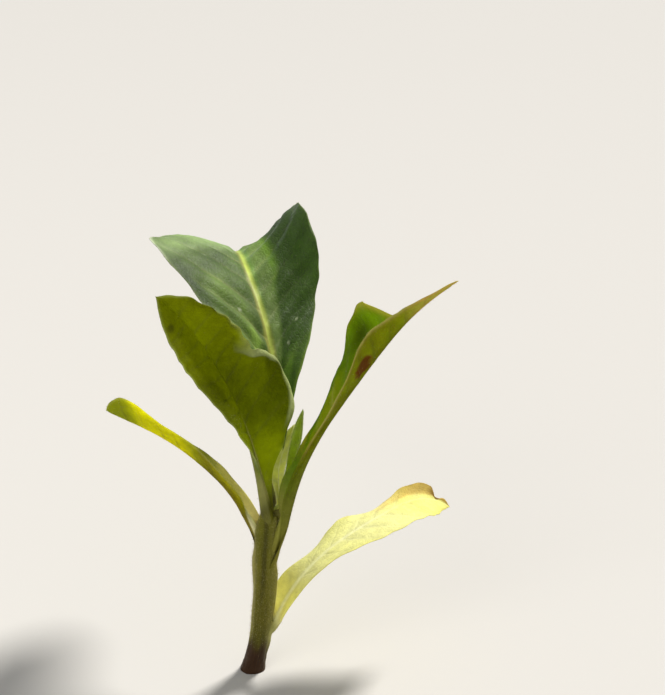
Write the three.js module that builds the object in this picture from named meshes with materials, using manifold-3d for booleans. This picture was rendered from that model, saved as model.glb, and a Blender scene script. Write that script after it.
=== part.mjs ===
// A young leafy plant: one leaning stem, five grown leaves and a bud of two young ones.
// Millimetres, +Z up. The origin is the middle of the flat cut under the stem. -Y is the front.
import * as THREE from "three";
import Module from "manifold-3d";

const wasm = await Module();
wasm.setup();
const RAD = Math.PI / 180;

// ---- named sizes -------------------------------------------------------------------------------
// The stem: how far its middle lies to the right, and its radius, at even steps from foot to fork.
const STEM = {
  height: 47.5,
  lean: [0, 1.6, 2.6, 3.22, 3.75, 4.22, 4.62],
  radius: [2.6, 2.55, 2.6, 2.64, 2.82, 3.0, 2.7],
  flare: 0.7, // extra radius at the cut
  flareReach: 2.6,
  crownFrom: 42.5, // above this the stem closes into the growing tip
  crownRadius: 1.3,
  sides: 24,
  rings: 22,
};

// Each leaf. base: where it leaves the stem. azimuth, rise and roll turn its midrib, in degrees at even
// steps from base to tip; width_l and width_r are its half widths, fold_l and fold_r lift its halves,
// curl bends them and wave (height, count, phase) ruffles their margins.
const LEAVES = {
  "front": {
    "base": [4.55, -1.92, 43.72], "length": 67.4, "azimuth": [222.4, 206, 215.9, 213, 213.6],
    "rise": [81.5, 77.2, 66.3, 59.1, 42.7], "roll": [25.1, 40.5, 40.2, 50.2, 47.7],
    "width_l": [1.16, 0.55, 6.39, 12.48, 13.1, 9.69, 0], "width_r": [1, 3.9, 9.1, 14.18, 7.31, 8.26, 0.01],
    "fold_l": [24.3, 18.5, 13.8, 5.1, -17.9], "fold_r": [47.8, 55, 54.9, 79.6, 47.1], "wave_l": [1.01, 1.85, -0.17],
    "wave_r": [1.64, 2.73, 0.34]
  },
  "back": {
    "base": [5.53, 1.67, 45.18], "length": 93.3, "azimuth": [67.2, 94.8, 111.9, 101.7, 101.9],
    "rise": [75.3, 66.9, 42, -1.8, -45.6], "roll": [-0.4, -6.4, -9.1, 6.6, -6.9],
    "width_l": [1.2, 2.05, 8.25, 18.33, 24.34, 18.11, 0], "width_r": [1.22, 2.15, 6.08, 13.6, 19.32, 16.72, 0],
    "fold_l": [40.8, 34.4, 22.4, 23.7, 14.3], "fold_r": [39.1, 26.6, 16.4, 31.6, 9.2],
    "curl_l": [1.2, 0, -5.9, -18.7, -17], "curl_r": [-2.1, 0.8, 12.3, 33.1, 14.9], "wave_l": [1.14, 3.8, -0.21],
    "wave_r": [0.54, 2.39, 0.42]
  },
  "left": {
    "base": [0.19, -0.89, 35.35], "length": 53.2, "azimuth": [176.9, 185.3, 168.4, 160.2, 133.6],
    "rise": [88.5, 60, 38.7, 19, -3.3], "roll": [9.5, 4.4, -0.1, -9.6, -11.9],
    "width_l": [1.03, 0.99, 3.9, 4.92, 6.42, 8, 0], "width_r": [1.41, 3.17, 2.95, 2.41, 2.3, 2.6, 0],
    "fold_l": [50.8, 49.2, 49.8, 52.2, 50.2], "fold_r": [56.1, 52.5, 50.2, 46.3, 44.3], "wave_l": [0.76, 2.68, -0.14],
    "wave_r": [0.97, 2.57, 0.08]
  },
  "right": {
    "base": [7.56, -1.96, 30.98], "length": 84.1, "azimuth": [3.3, 3.5, 5.8, 1.1, 6],
    "rise": [83.7, 73.3, 56.3, 53, 31], "roll": [1.9, -2.6, -36.9, 18.2, 18.8],
    "width_l": [1.19, 1.7, 2.1, 2, 1.88, 4.4, 8.25, 12.55, 14.6, 6.2, 0.5, 0.4, 0], "width_r": [1.2, 2.04, 2.51, 4.52, 10.3, 7.6, 2.4],
    "fold_l": [56.6, 34.3, 5.8, 22.1, 36.7], "fold_r": [53.5, 66.7, 67.7, 29.3, 21.2], "wave_l": [8.62, 1.92, 0.76],
    "wave_r": [0.96, 3.34, -0.47]
  },
  "low": {
    "base": [5.92, -0.65, 12.01], "length": 61.3, "azimuth": [13.2, 14.4, 23.6, 31.4, 18],
    "rise": [75.4, 51.1, 24.7, 7.8, -42.1], "roll": [-18.1, -6.1, 12.2, 9.8, -15.6],
    "width_l": [0.98, 4.26, 5.56, 8.05, 7.09, 4.85, 0], "width_r": [1.09, 2.94, 5.6, 8.11, 9.37, 7.86, 0.01],
    "fold_l": [27, 14.9, -3.3, 9.2, 51.9], "fold_r": [13.6, 5.9, -0.7, -9.5, -8.2], "wave_l": [1.67, 2.6, -0.08],
    "wave_r": [0.53, 2.47, 0.33]
  },
  "bud_a": {
    "base": [7.15, 1.39, 46.1], "length": 19.5, "azimuth": [117.5, 95.1, 60.7, 48.7, 47.3],
    "rise": [89, 82.8, 61.7, 54.7, 56.3], "roll": [10, 3.4, -10.3, -10.7, -6.3],
    "width_l": [0.99, 1.49, 2.16, 2.11, 1.79, 1.37, 0], "width_r": [0.97, 1.24, 1.96, 2.48, 2.15, 1.29, 0],
    "fold_l": [46.3, 44.3, 42.8, 41, 39.9], "fold_r": [50.8, 47.1, 36.8, 35.8, 37.9], "wave_l": [0.1, 2.01, 0.1],
    "wave_r": [0.1, 2.01, 0.31]
  },
  "bud_b": {
    "base": [8.43, 1.73, 46.53], "length": 22.8, "azimuth": [37.7, 35.3, 35.1, 36.9, 42.1],
    "rise": [72.5, 69, 75.1, 81.2, 84.2], "roll": [3.3, 1.2, -2.5, -8.7, -8],
    "width_l": [1.03, 1.35, 1.68, 2.02, 1.96, 1.34, 0], "width_r": [1, 1.49, 1.89, 2.18, 1.94, 1.25, 0],
    "fold_l": [45.2, 44.1, 41.2, 39.6, 39.8], "fold_r": [46.4, 45, 40.4, 34.8, 36.6], "wave_l": [0.1, 2, 0.1],
    "wave_r": [0.1, 1.98, 0.29]
  }
};

// Where the stalk ends and the blade begins, as a share of the whole leaf; how thick the rib and the
// stalk's core are at the base; whether the traced keel is the outside of the rib; how far the foot runs
// down the stem; and from how far above the base the stalk is drawn in towards the stem.
const BUILD = {
  front: { split: 0.2, rib: 0.8, core: 0.8, keel: 0, foot: 6, tuck: 0 },
  back: { split: 0.2, rib: 0.8, core: 0.8, keel: 0, foot: 6, tuck: 0 },
  left: { split: 0.24, rib: 0.9, core: 1.0, keel: 1, foot: 8, tuck: 9 },
  right: { split: 0.36, rib: 0.9, core: 1.0, keel: 1, foot: 9, tuck: 11 },
  low: { split: 0.13, rib: 0.6, core: 0.7, keel: 0, foot: 5, tuck: 3 },
  bud_a: { split: 0, rib: 0.35, core: 0.4, keel: 0, foot: 3, tuck: 0 },
  bud_b: { split: 0, rib: 0.35, core: 0.4, keel: 0, foot: 3, tuck: 0 },
};
const BLADE = 0.6; // thickness of a blade
const GAP = 0.3; // clearance between neighbouring solids
const JOINT = 0.35; // clearance between a stalk and its blade, along the leaf
const BEND = 0.55; // the back leaf arches over here, and its blade is two solids

const GREEN = {
  stem: 0x4d5a24,
  front: 0x5a6a12,
  back: 0x4c7040,
  left: 0xa8ad20,
  right: 0x566a1c,
  low: 0xdfe48a,
  bud_a: 0x9cb64a,
  bud_b: 0x587a2c,
};

// ---- curves ------------------------------------------------------------------------------------
// A smooth curve through evenly spaced values, straight at its ends.
function curve(v, t) {
  const n = v.length - 1;
  const x = Math.min(Math.max(t, 0), 1) * n;
  const i = Math.min(Math.floor(x), n - 1);
  const f = x - i;
  const g = (k) => (k < 0 ? 2 * v[0] - v[1] : k > n ? 2 * v[n] - v[n - 1] : v[k]);
  const [a, b, c, d] = [g(i - 1), g(i), g(i + 1), g(i + 2)];
  return 0.5 * (2 * b + (c - a) * f + (2 * a - 5 * b + 4 * c - d) * f * f + (3 * b - a - 3 * c + d) * f ** 3);
}
const smooth = (t) => {
  const x = Math.min(Math.max(t, 0), 1);
  return x * x * (3 - 2 * x);
};
const V = (x, y, z) => new THREE.Vector3(x, y, z);

// ---- the stem ----------------------------------------------------------------------------------
const stemX = (z) => curve(STEM.lean, z / STEM.height);
function stemRadius(z) {
  const r = curve(STEM.radius, z / STEM.height) + STEM.flare * Math.exp(-z / STEM.flareReach);
  const k = Math.max(0, z - STEM.crownFrom) / (STEM.height - STEM.crownFrom);
  return r + (STEM.crownRadius - r) * k * k;
}

// A closed body from rings of points, the same number in each.
function loft(rings) {
  const n = rings[0].length;
  const pos = [];
  const tri = [];
  for (const ring of rings) for (const p of ring) pos.push(p.x, p.y, p.z);
  const id = (i, j) => i * n + (j % n);
  for (let i = 0; i + 1 < rings.length; i++)
    for (let j = 0; j < n; j++) {
      tri.push(id(i, j), id(i, j + 1), id(i + 1, j + 1));
      tri.push(id(i, j), id(i + 1, j + 1), id(i + 1, j));
    }
  return { pos, tri, id, n, m: rings.length };
}
function solid(pos, tri) {
  const make = (t) =>
    new wasm.Manifold(
      new wasm.Mesh({ numProp: 3, vertProperties: new Float32Array(pos), triVerts: new Uint32Array(t) }),
    );
  let s = make(tri);
  if (s.volume() < 0) {
    const t = [];
    for (let i = 0; i < tri.length; i += 3) t.push(tri[i], tri[i + 2], tri[i + 1]);
    s = make(t);
  }
  return s;
}
function stemBody(grow) {
  const rings = [];
  for (let i = 0; i <= STEM.rings; i++) {
    const z = STEM.height * (i / STEM.rings) ** 1.15;
    const r = stemRadius(z) + grow;
    const ring = [];
    for (let j = 0; j < STEM.sides; j++) {
      const a = (2 * Math.PI * j) / STEM.sides;
      ring.push(V(stemX(z) + r * Math.cos(a), r * Math.sin(a), i === STEM.rings ? z + grow : z));
    }
    rings.push(ring);
  }
  const b = loft(rings);
  for (let j = 1; j + 1 < b.n; j++) {
    b.tri.push(b.id(0, 0), b.id(0, j + 1), b.id(0, j));
    b.tri.push(b.id(b.m - 1, 0), b.id(b.m - 1, j), b.id(b.m - 1, j + 1));
  }
  return solid(b.pos, b.tri);
}

// ---- leaves ------------------------------------------------------------------------------------
const STEPS = 96;
function midrib(leaf) {
  const rows = [];
  let p = V(...leaf.base);
  let before = null;
  for (let i = 0; i <= STEPS; i++) {
    const s = i / STEPS;
    const az = curve(leaf.azimuth, s) * RAD;
    const el = curve(leaf.rise, s) * RAD;
    const roll = curve(leaf.roll, s) * RAD;
    const T = V(Math.cos(el) * Math.cos(az), Math.cos(el) * Math.sin(az), Math.sin(el));
    if (before) p = p.clone().addScaledVector(T.clone().add(before), leaf.length / STEPS / 2);
    before = T;
    const S0 = V(Math.sin(az), -Math.cos(az), 0);
    const N0 = S0.clone().cross(T);
    const S = S0.clone().multiplyScalar(Math.cos(roll)).addScaledVector(N0, Math.sin(roll));
    const N = S0.clone().multiplyScalar(-Math.sin(roll)).addScaledVector(N0, Math.cos(roll));
    rows.push({ P: p, T, S, N });
  }
  return rows;
}
function mix(rows, s) {
  const x = Math.min(Math.max(s, 0), 1) * STEPS;
  const i = Math.min(Math.floor(x), STEPS - 1);
  const f = x - i;
  const m = (k) => rows[i][k].clone().lerp(rows[i + 1][k], f);
  return { P: m("P"), T: m("T").normalize(), S: m("S").normalize(), N: m("N").normalize() };
}
const ribAt = (b, s) => b.rib * (1 - Math.min(Math.max(s, 0), 1)) ** 0.9 + 0.08;
const coreAt = (b, s) => b.core * (1 - smooth(s / Math.max(b.split, 0.3)));

// A point of the leaf's middle surface. s below 0 runs down the foot, into the stem.
function surfacePoint(leaf, build, rows, s, u, grow) {
  const fr = mix(rows, s);
  const side = u < 0 ? "l" : "r";
  const m = Math.abs(u);
  const q = Math.max(0, -s); // 0 at the base, 1 at the foot's end
  const P = fr.P.clone();
  P.addScaledVector(fr.T, -build.foot * q);
  // the lowest stretch is drawn in towards the stem's middle
  const up0 = s > 0 ? s * leaf.length : -q * build.foot;
  const k = Math.max(0, (build.tuck - up0) / (build.tuck + build.foot)) ** 1.5;
  P.x += (stemX(P.z) - P.x) * k;
  P.y += (0 - P.y) * k;
  const at = Math.max(s, 0);
  let w = Math.max(curve(leaf["width_" + side], at), 0.35) * (1 - 0.45 * q) + grow;
  const fold = curve(leaf["fold_" + side], at) * RAD;
  const c = (leaf["curl_" + side] ? curve(leaf["curl_" + side], at) : 0) * RAD;
  const ang = fold - c / 2 + (c * m) / 2;
  const [amp, count, phase] = leaf["wave_" + side];
  const across = w * m * Math.cos(ang) * Math.sign(u);
  const up =
    w * m * Math.sin(ang) +
    amp * Math.min(w / 8, 1) * m ** 3 * Math.sin(2 * Math.PI * (count * at + phase)) +
    build.keel * ribAt(build, s) * (1 - m);
  return P.addScaledVector(fr.S, across).addScaledVector(fr.N, up);
}

// The outline round a set of points in a plane, as distances from their middle in evenly spaced directions.
function outline(points, sides) {
  const sorted = points.slice().sort((a, b) => a[0] - b[0] || a[1] - b[1]);
  const turn = (a, b, c) => (b[0] - a[0]) * (c[1] - a[1]) - (b[1] - a[1]) * (c[0] - a[0]);
  const half = (list) => {
    const h = [];
    for (const p of list) {
      while (h.length > 1 && turn(h[h.length - 2], h[h.length - 1], p) <= 0) h.pop();
      h.push(p);
    }
    return h.slice(0, -1);
  };
  const hull = [...half(sorted), ...half(sorted.slice().reverse())];
  const mid = [0, 1].map((k) => hull.reduce((a, p) => a + p[k], 0) / hull.length);
  const ring = [];
  for (let j = 0; j < sides; j++) {
    const d = [Math.cos((2 * Math.PI * j) / sides), Math.sin((2 * Math.PI * j) / sides)];
    let reach = Infinity;
    hull.forEach((a, i) => {
      const b = hull[(i + 1) % hull.length];
      const n = [b[1] - a[1], a[0] - b[0]]; // points out of the hull
      const along = n[0] * d[0] + n[1] * d[1];
      if (along > 1e-9) reach = Math.min(reach, (n[0] * (a[0] - mid[0]) + n[1] * (a[1] - mid[1])) / along);
    });
    ring.push([mid[0] + d[0] * reach, mid[1] + d[1] * reach]);
  }
  return ring;
}

// The upper and lower faces of a leaf across its width at s: two rows of points, left to right.
function section(leaf, build, rows, s, us, grow) {
  const top = [];
  const low = [];
  for (const u of us) {
    const P = surfacePoint(leaf, build, rows, s, u, grow);
    const d = 0.02;
    const h = 0.006;
    const pu = surfacePoint(leaf, build, rows, s, Math.min(u + d, 1), grow).sub(
      surfacePoint(leaf, build, rows, s, Math.max(u - d, -1), grow),
    );
    const ps = surfacePoint(leaf, build, rows, Math.min(s + h, 1), u, grow).sub(
      surfacePoint(leaf, build, rows, Math.min(s + h, 1) - 2 * h, u, grow),
    );
    const n = pu.cross(ps).normalize();
    const w = Math.max(curve(leaf["width_" + (u < 0 ? "l" : "r")], Math.max(s, 0)), 0.35);
    const x = Math.abs(u) * w; // distance from the midrib
    const rib = ribAt(build, s);
    const core = coreAt(build, s);
    const bell = (r) => Math.exp(-((x / (0.55 + r)) ** 2));
    // the core fills the channel straight up, so that the two folded sides don't meet in it
    top.push(
      P.clone()
        .addScaledVector(n, BLADE / 2 + grow)
        .addScaledVector(mix(rows, s).N, core * bell(core)),
    );
    low.push(P.clone().addScaledVector(n, -(BLADE / 2 + rib * bell(rib * 0.6) + grow)));
  }
  return { top, low };
}
const steps = (s0, s1, count) => Array.from({ length: count + 1 }, (_, i) => s0 + ((s1 - s0) * i) / count);

// A stalk from its foot to s1, as one rounded limb round the leaf's section.
function stalkBody(name, s1, count, grow) {
  const leaf = LEAVES[name];
  const build = BUILD[name];
  const rows = midrib(leaf);
  const end = grow ? (0.2 + grow) / leaf.length : 0;
  const rings = steps(-1, s1 + end, count).map((s) => {
    const { top, low } = section(leaf, build, rows, s, STALK_U, grow);
    const { S, N } = mix(rows, s);
    const O = surfacePoint(leaf, build, rows, s, 0, grow);
    const flat = [...top, ...low].map((p) => {
      const q = p.clone().sub(O);
      return [q.dot(S), q.dot(N)];
    });
    return outline(flat, STALK_SIDES).map(([x, y]) => O.clone().addScaledVector(S, x).addScaledVector(N, y));
  });
  const b = loft(rings);
  for (let j = 1; j + 1 < b.n; j++) {
    b.tri.push(b.id(0, 0), b.id(0, j + 1), b.id(0, j));
    b.tri.push(b.id(b.m - 1, 0), b.id(b.m - 1, j), b.id(b.m - 1, j + 1));
  }
  return solid(b.pos, b.tri);
}

// A length of the blade from s0 to s1 as one closed body: its upper face, its lower face and the rim.
function bladeBody(name, s0, s1, us, count, grow) {
  const leaf = LEAVES[name];
  const build = BUILD[name];
  const rows = midrib(leaf);
  const e = grow ? (0.2 + grow) / leaf.length : 0;
  // one ring round the leaf at each step: over the top from left to right, back underneath
  const rings = steps(s0 - e, s1 + e, count).map((s) => {
    const { top, low } = section(leaf, build, rows, s, us, grow);
    return [...top, ...low.reverse()];
  });
  const b = loft(rings);
  const k = us.length;
  for (const [r, flip] of [
    [0, false],
    [b.m - 1, true],
  ])
    for (let j = 0; j + 1 < k; j++) {
      const q = [b.id(r, j), b.id(r, j + 1), b.id(r, 2 * k - 2 - j), b.id(r, 2 * k - 1 - j)];
      const t = [
        [q[0], q[3], q[2]],
        [q[0], q[2], q[1]],
      ];
      for (const [x, y, z] of t) b.tri.push(...(flip ? [x, z, y] : [x, y, z]));
    }
  return solid(b.pos, b.tri);
}

// ---- assembly ----------------------------------------------------------------------------------
const root = new THREE.Group();
root.name = "young_plant";
const taken = []; // grown copies of the solids placed so far

function place(name, body, grown, colour, skip) {
  let s = body;
  for (const t of taken) if (!skip.includes(t.name)) s = s.subtract(t.body);
  const parts = s.decompose();
  s = parts.reduce((a, b) => (b.volume() > a.volume() ? b : a));
  taken.push({ name, body: grown });
  const m = s.getMesh();
  const g = new THREE.BufferGeometry();
  g.setAttribute("position", new THREE.BufferAttribute(new Float32Array(m.vertProperties), 3));
  g.setIndex(new THREE.BufferAttribute(new Uint32Array(m.triVerts), 1));
  g.computeVertexNormals();
  const mesh = new THREE.Mesh(
    g,
    new THREE.MeshStandardMaterial({ color: colour, roughness: 0.6, side: THREE.DoubleSide }),
  );
  mesh.name = name;
  root.add(mesh);
}

const STALK_U = [-1, -0.6, 0, 0.6, 1];
const STALK_SIDES = 12;
const BLADE_U = [-1, -0.72, -0.42, -0.14, 0, 0.14, 0.42, 0.72, 1];
const BUD_U = [-1, -0.5, 0, 0.5, 1];

place("stem", stemBody(0), stemBody(GAP), GREEN.stem, []);
const grownLeaves = ["front", "back", "left", "right", "low"];
for (const n of grownLeaves) {
  const s1 = BUILD[n].split;
  place("stalk_" + n, stalkBody(n, s1, 18, 0), stalkBody(n, s1, 18, GAP), GREEN[n], []);
}
for (const n of grownLeaves) {
  const joint = JOINT / LEAVES[n].length;
  const lengths =
    n === "back"
      ? [
          ["blade_back", BUILD[n].split + joint, BEND, 16],
          ["blade_back_tip", BEND + joint, 0.992, 18],
        ]
      : [["blade_" + n, BUILD[n].split + joint, 0.992, 26]];
  for (const [name, s0, s1, count] of lengths)
    place(
      name,
      bladeBody(n, s0, s1, BLADE_U, count, 0),
      bladeBody(n, s0, s1, BLADE_U, count, GAP),
      GREEN[n],
      ["stalk_" + n, "blade_" + n],
    );
}
for (const n of ["bud_a", "bud_b"])
  place(n, bladeBody(n, -1, 0.985, BUD_U, 22, 0), bladeBody(n, -1, 0.985, BUD_U, 22, GAP), GREEN[n], []);

export default root;
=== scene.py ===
# A young tobacco plant: the looks of its stem, five grown leaves and the bud at the fork.
# Sizes are in millimetres here and become metres when a mesh is made. +Z is up and -Y is the front.
import math

import bpy
import numpy as np
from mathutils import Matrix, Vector


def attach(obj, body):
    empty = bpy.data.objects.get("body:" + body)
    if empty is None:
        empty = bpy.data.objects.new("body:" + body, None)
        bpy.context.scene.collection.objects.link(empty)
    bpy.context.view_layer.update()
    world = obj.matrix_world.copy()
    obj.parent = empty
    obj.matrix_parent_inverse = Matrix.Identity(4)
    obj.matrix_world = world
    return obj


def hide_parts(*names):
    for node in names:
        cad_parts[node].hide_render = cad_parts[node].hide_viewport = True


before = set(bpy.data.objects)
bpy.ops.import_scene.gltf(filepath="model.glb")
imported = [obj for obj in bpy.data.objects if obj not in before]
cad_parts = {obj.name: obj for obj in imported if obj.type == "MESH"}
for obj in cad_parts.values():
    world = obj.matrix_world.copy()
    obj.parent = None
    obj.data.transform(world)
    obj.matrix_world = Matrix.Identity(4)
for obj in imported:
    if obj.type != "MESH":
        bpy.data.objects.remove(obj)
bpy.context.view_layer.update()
MM = 0.001
RAD = math.pi / 180


# ---- named sizes of the solids, repeated from the construction -----------------------------------
STEM = {
    "height": 47.5,
    "lean": [0, 1.6, 2.6, 3.22, 3.75, 4.22, 4.62],
    "radius": [2.6, 2.55, 2.6, 2.64, 2.82, 3.0, 2.7],
    "flare": 0.7,
    "reach": 2.6,
    "crown_from": 42.5,
    "crown_radius": 1.3,
}
LEAVES = {
  "front": {
    "base": [4.55, -1.92, 43.72], "length": 67.4, "azimuth": [222.4, 206, 215.9, 213, 213.6],
    "rise": [81.5, 77.2, 66.3, 59.1, 42.7], "roll": [25.1, 40.5, 40.2, 50.2, 47.7],
    "width_l": [1.16, 0.55, 6.39, 12.48, 13.1, 9.69, 0], "width_r": [1, 3.9, 9.1, 14.18, 7.31, 8.26, 0.01],
    "fold_l": [24.3, 18.5, 13.8, 5.1, -17.9], "fold_r": [47.8, 55, 54.9, 79.6, 47.1], "wave_l": [1.01, 1.85, -0.17],
    "wave_r": [1.64, 2.73, 0.34]
  },
  "back": {
    "base": [5.53, 1.67, 45.18], "length": 93.3, "azimuth": [67.2, 94.8, 111.9, 101.7, 101.9],
    "rise": [75.3, 66.9, 42, -1.8, -45.6], "roll": [-0.4, -6.4, -9.1, 6.6, -6.9],
    "width_l": [1.2, 2.05, 8.25, 18.33, 24.34, 18.11, 0], "width_r": [1.22, 2.15, 6.08, 13.6, 19.32, 16.72, 0],
    "fold_l": [40.8, 34.4, 22.4, 23.7, 14.3], "fold_r": [39.1, 26.6, 16.4, 31.6, 9.2],
    "curl_l": [1.2, 0, -5.9, -18.7, -17], "curl_r": [-2.1, 0.8, 12.3, 33.1, 14.9], "wave_l": [1.14, 3.8, -0.21],
    "wave_r": [0.54, 2.39, 0.42]
  },
  "left": {
    "base": [0.19, -0.89, 35.35], "length": 53.2, "azimuth": [176.9, 185.3, 168.4, 160.2, 133.6],
    "rise": [88.5, 60, 38.7, 19, -3.3], "roll": [9.5, 4.4, -0.1, -9.6, -11.9],
    "width_l": [1.03, 0.99, 3.9, 4.92, 6.42, 8, 0], "width_r": [1.41, 3.17, 2.95, 2.41, 2.3, 2.6, 0],
    "fold_l": [50.8, 49.2, 49.8, 52.2, 50.2], "fold_r": [56.1, 52.5, 50.2, 46.3, 44.3], "wave_l": [0.76, 2.68, -0.14],
    "wave_r": [0.97, 2.57, 0.08]
  },
  "right": {
    "base": [7.56, -1.96, 30.98], "length": 84.1, "azimuth": [3.3, 3.5, 5.8, 1.1, 6],
    "rise": [83.7, 73.3, 56.3, 53, 31], "roll": [1.9, -2.6, -36.9, 18.2, 18.8],
    "width_l": [1.19, 1.7, 2.1, 2, 1.88, 4.4, 8.25, 12.55, 14.6, 6.2, 0.5, 0.4, 0], "width_r": [1.2, 2.04, 2.51, 4.52, 10.3, 7.6, 2.4],
    "fold_l": [56.6, 34.3, 5.8, 22.1, 36.7], "fold_r": [53.5, 66.7, 67.7, 29.3, 21.2], "wave_l": [8.62, 1.92, 0.76],
    "wave_r": [0.96, 3.34, -0.47]
  },
  "low": {
    "base": [5.92, -0.65, 12.01], "length": 61.3, "azimuth": [13.2, 14.4, 23.6, 31.4, 18],
    "rise": [75.4, 51.1, 24.7, 7.8, -42.1], "roll": [-18.1, -6.1, 12.2, 9.8, -15.6],
    "width_l": [0.98, 4.26, 5.56, 8.05, 7.09, 4.85, 0], "width_r": [1.09, 2.94, 5.6, 8.11, 9.37, 7.86, 0.01],
    "fold_l": [27, 14.9, -3.3, 9.2, 51.9], "fold_r": [13.6, 5.9, -0.7, -9.5, -8.2], "wave_l": [1.67, 2.6, -0.08],
    "wave_r": [0.53, 2.47, 0.33]
  },
  "bud_a": {
    "base": [7.15, 1.39, 46.1], "length": 19.5, "azimuth": [117.5, 95.1, 60.7, 48.7, 47.3],
    "rise": [89, 82.8, 61.7, 54.7, 56.3], "roll": [10, 3.4, -10.3, -10.7, -6.3],
    "width_l": [0.99, 1.49, 2.16, 2.11, 1.79, 1.37, 0], "width_r": [0.97, 1.24, 1.96, 2.48, 2.15, 1.29, 0],
    "fold_l": [46.3, 44.3, 42.8, 41, 39.9], "fold_r": [50.8, 47.1, 36.8, 35.8, 37.9], "wave_l": [0.1, 2.01, 0.1],
    "wave_r": [0.1, 2.01, 0.31]
  },
  "bud_b": {
    "base": [8.43, 1.73, 46.53], "length": 22.8, "azimuth": [37.7, 35.3, 35.1, 36.9, 42.1],
    "rise": [72.5, 69, 75.1, 81.2, 84.2], "roll": [3.3, 1.2, -2.5, -8.7, -8],
    "width_l": [1.03, 1.35, 1.68, 2.02, 1.96, 1.34, 0], "width_r": [1, 1.49, 1.89, 2.18, 1.94, 1.25, 0],
    "fold_l": [45.2, 44.1, 41.2, 39.6, 39.8], "fold_r": [46.4, 45, 40.4, 34.8, 36.6], "wave_l": [0.1, 2, 0.1],
    "wave_r": [0.1, 1.98, 0.29]
  }
}
# split: where the stalk becomes a blade. rib and core: how thick the midrib and the stalk are at the base.
# keel: 1 where the traced curve is the outside of the rib. foot: how far the stalk runs down into the stem.
BUILD = {
    "front": {"split": 0.2, "rib": 0.8, "core": 0.8, "keel": 0, "foot": 6, "tuck": 0},
    "back": {"split": 0.2, "rib": 0.8, "core": 0.8, "keel": 0, "foot": 6, "tuck": 0},
    "left": {"split": 0.24, "rib": 0.9, "core": 1.0, "keel": 1, "foot": 8, "tuck": 9},
    "right": {"split": 0.36, "rib": 0.9, "core": 1.0, "keel": 1, "foot": 9, "tuck": 11},
    "low": {"split": 0.13, "rib": 0.6, "core": 0.7, "keel": 0, "foot": 5, "tuck": 3},
    "bud_a": {"split": 0, "rib": 0.35, "core": 0.4, "keel": 0, "foot": 3, "tuck": 0},
    "bud_b": {"split": 0, "rib": 0.35, "core": 0.4, "keel": 0, "foot": 3, "tuck": 0},
}

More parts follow.
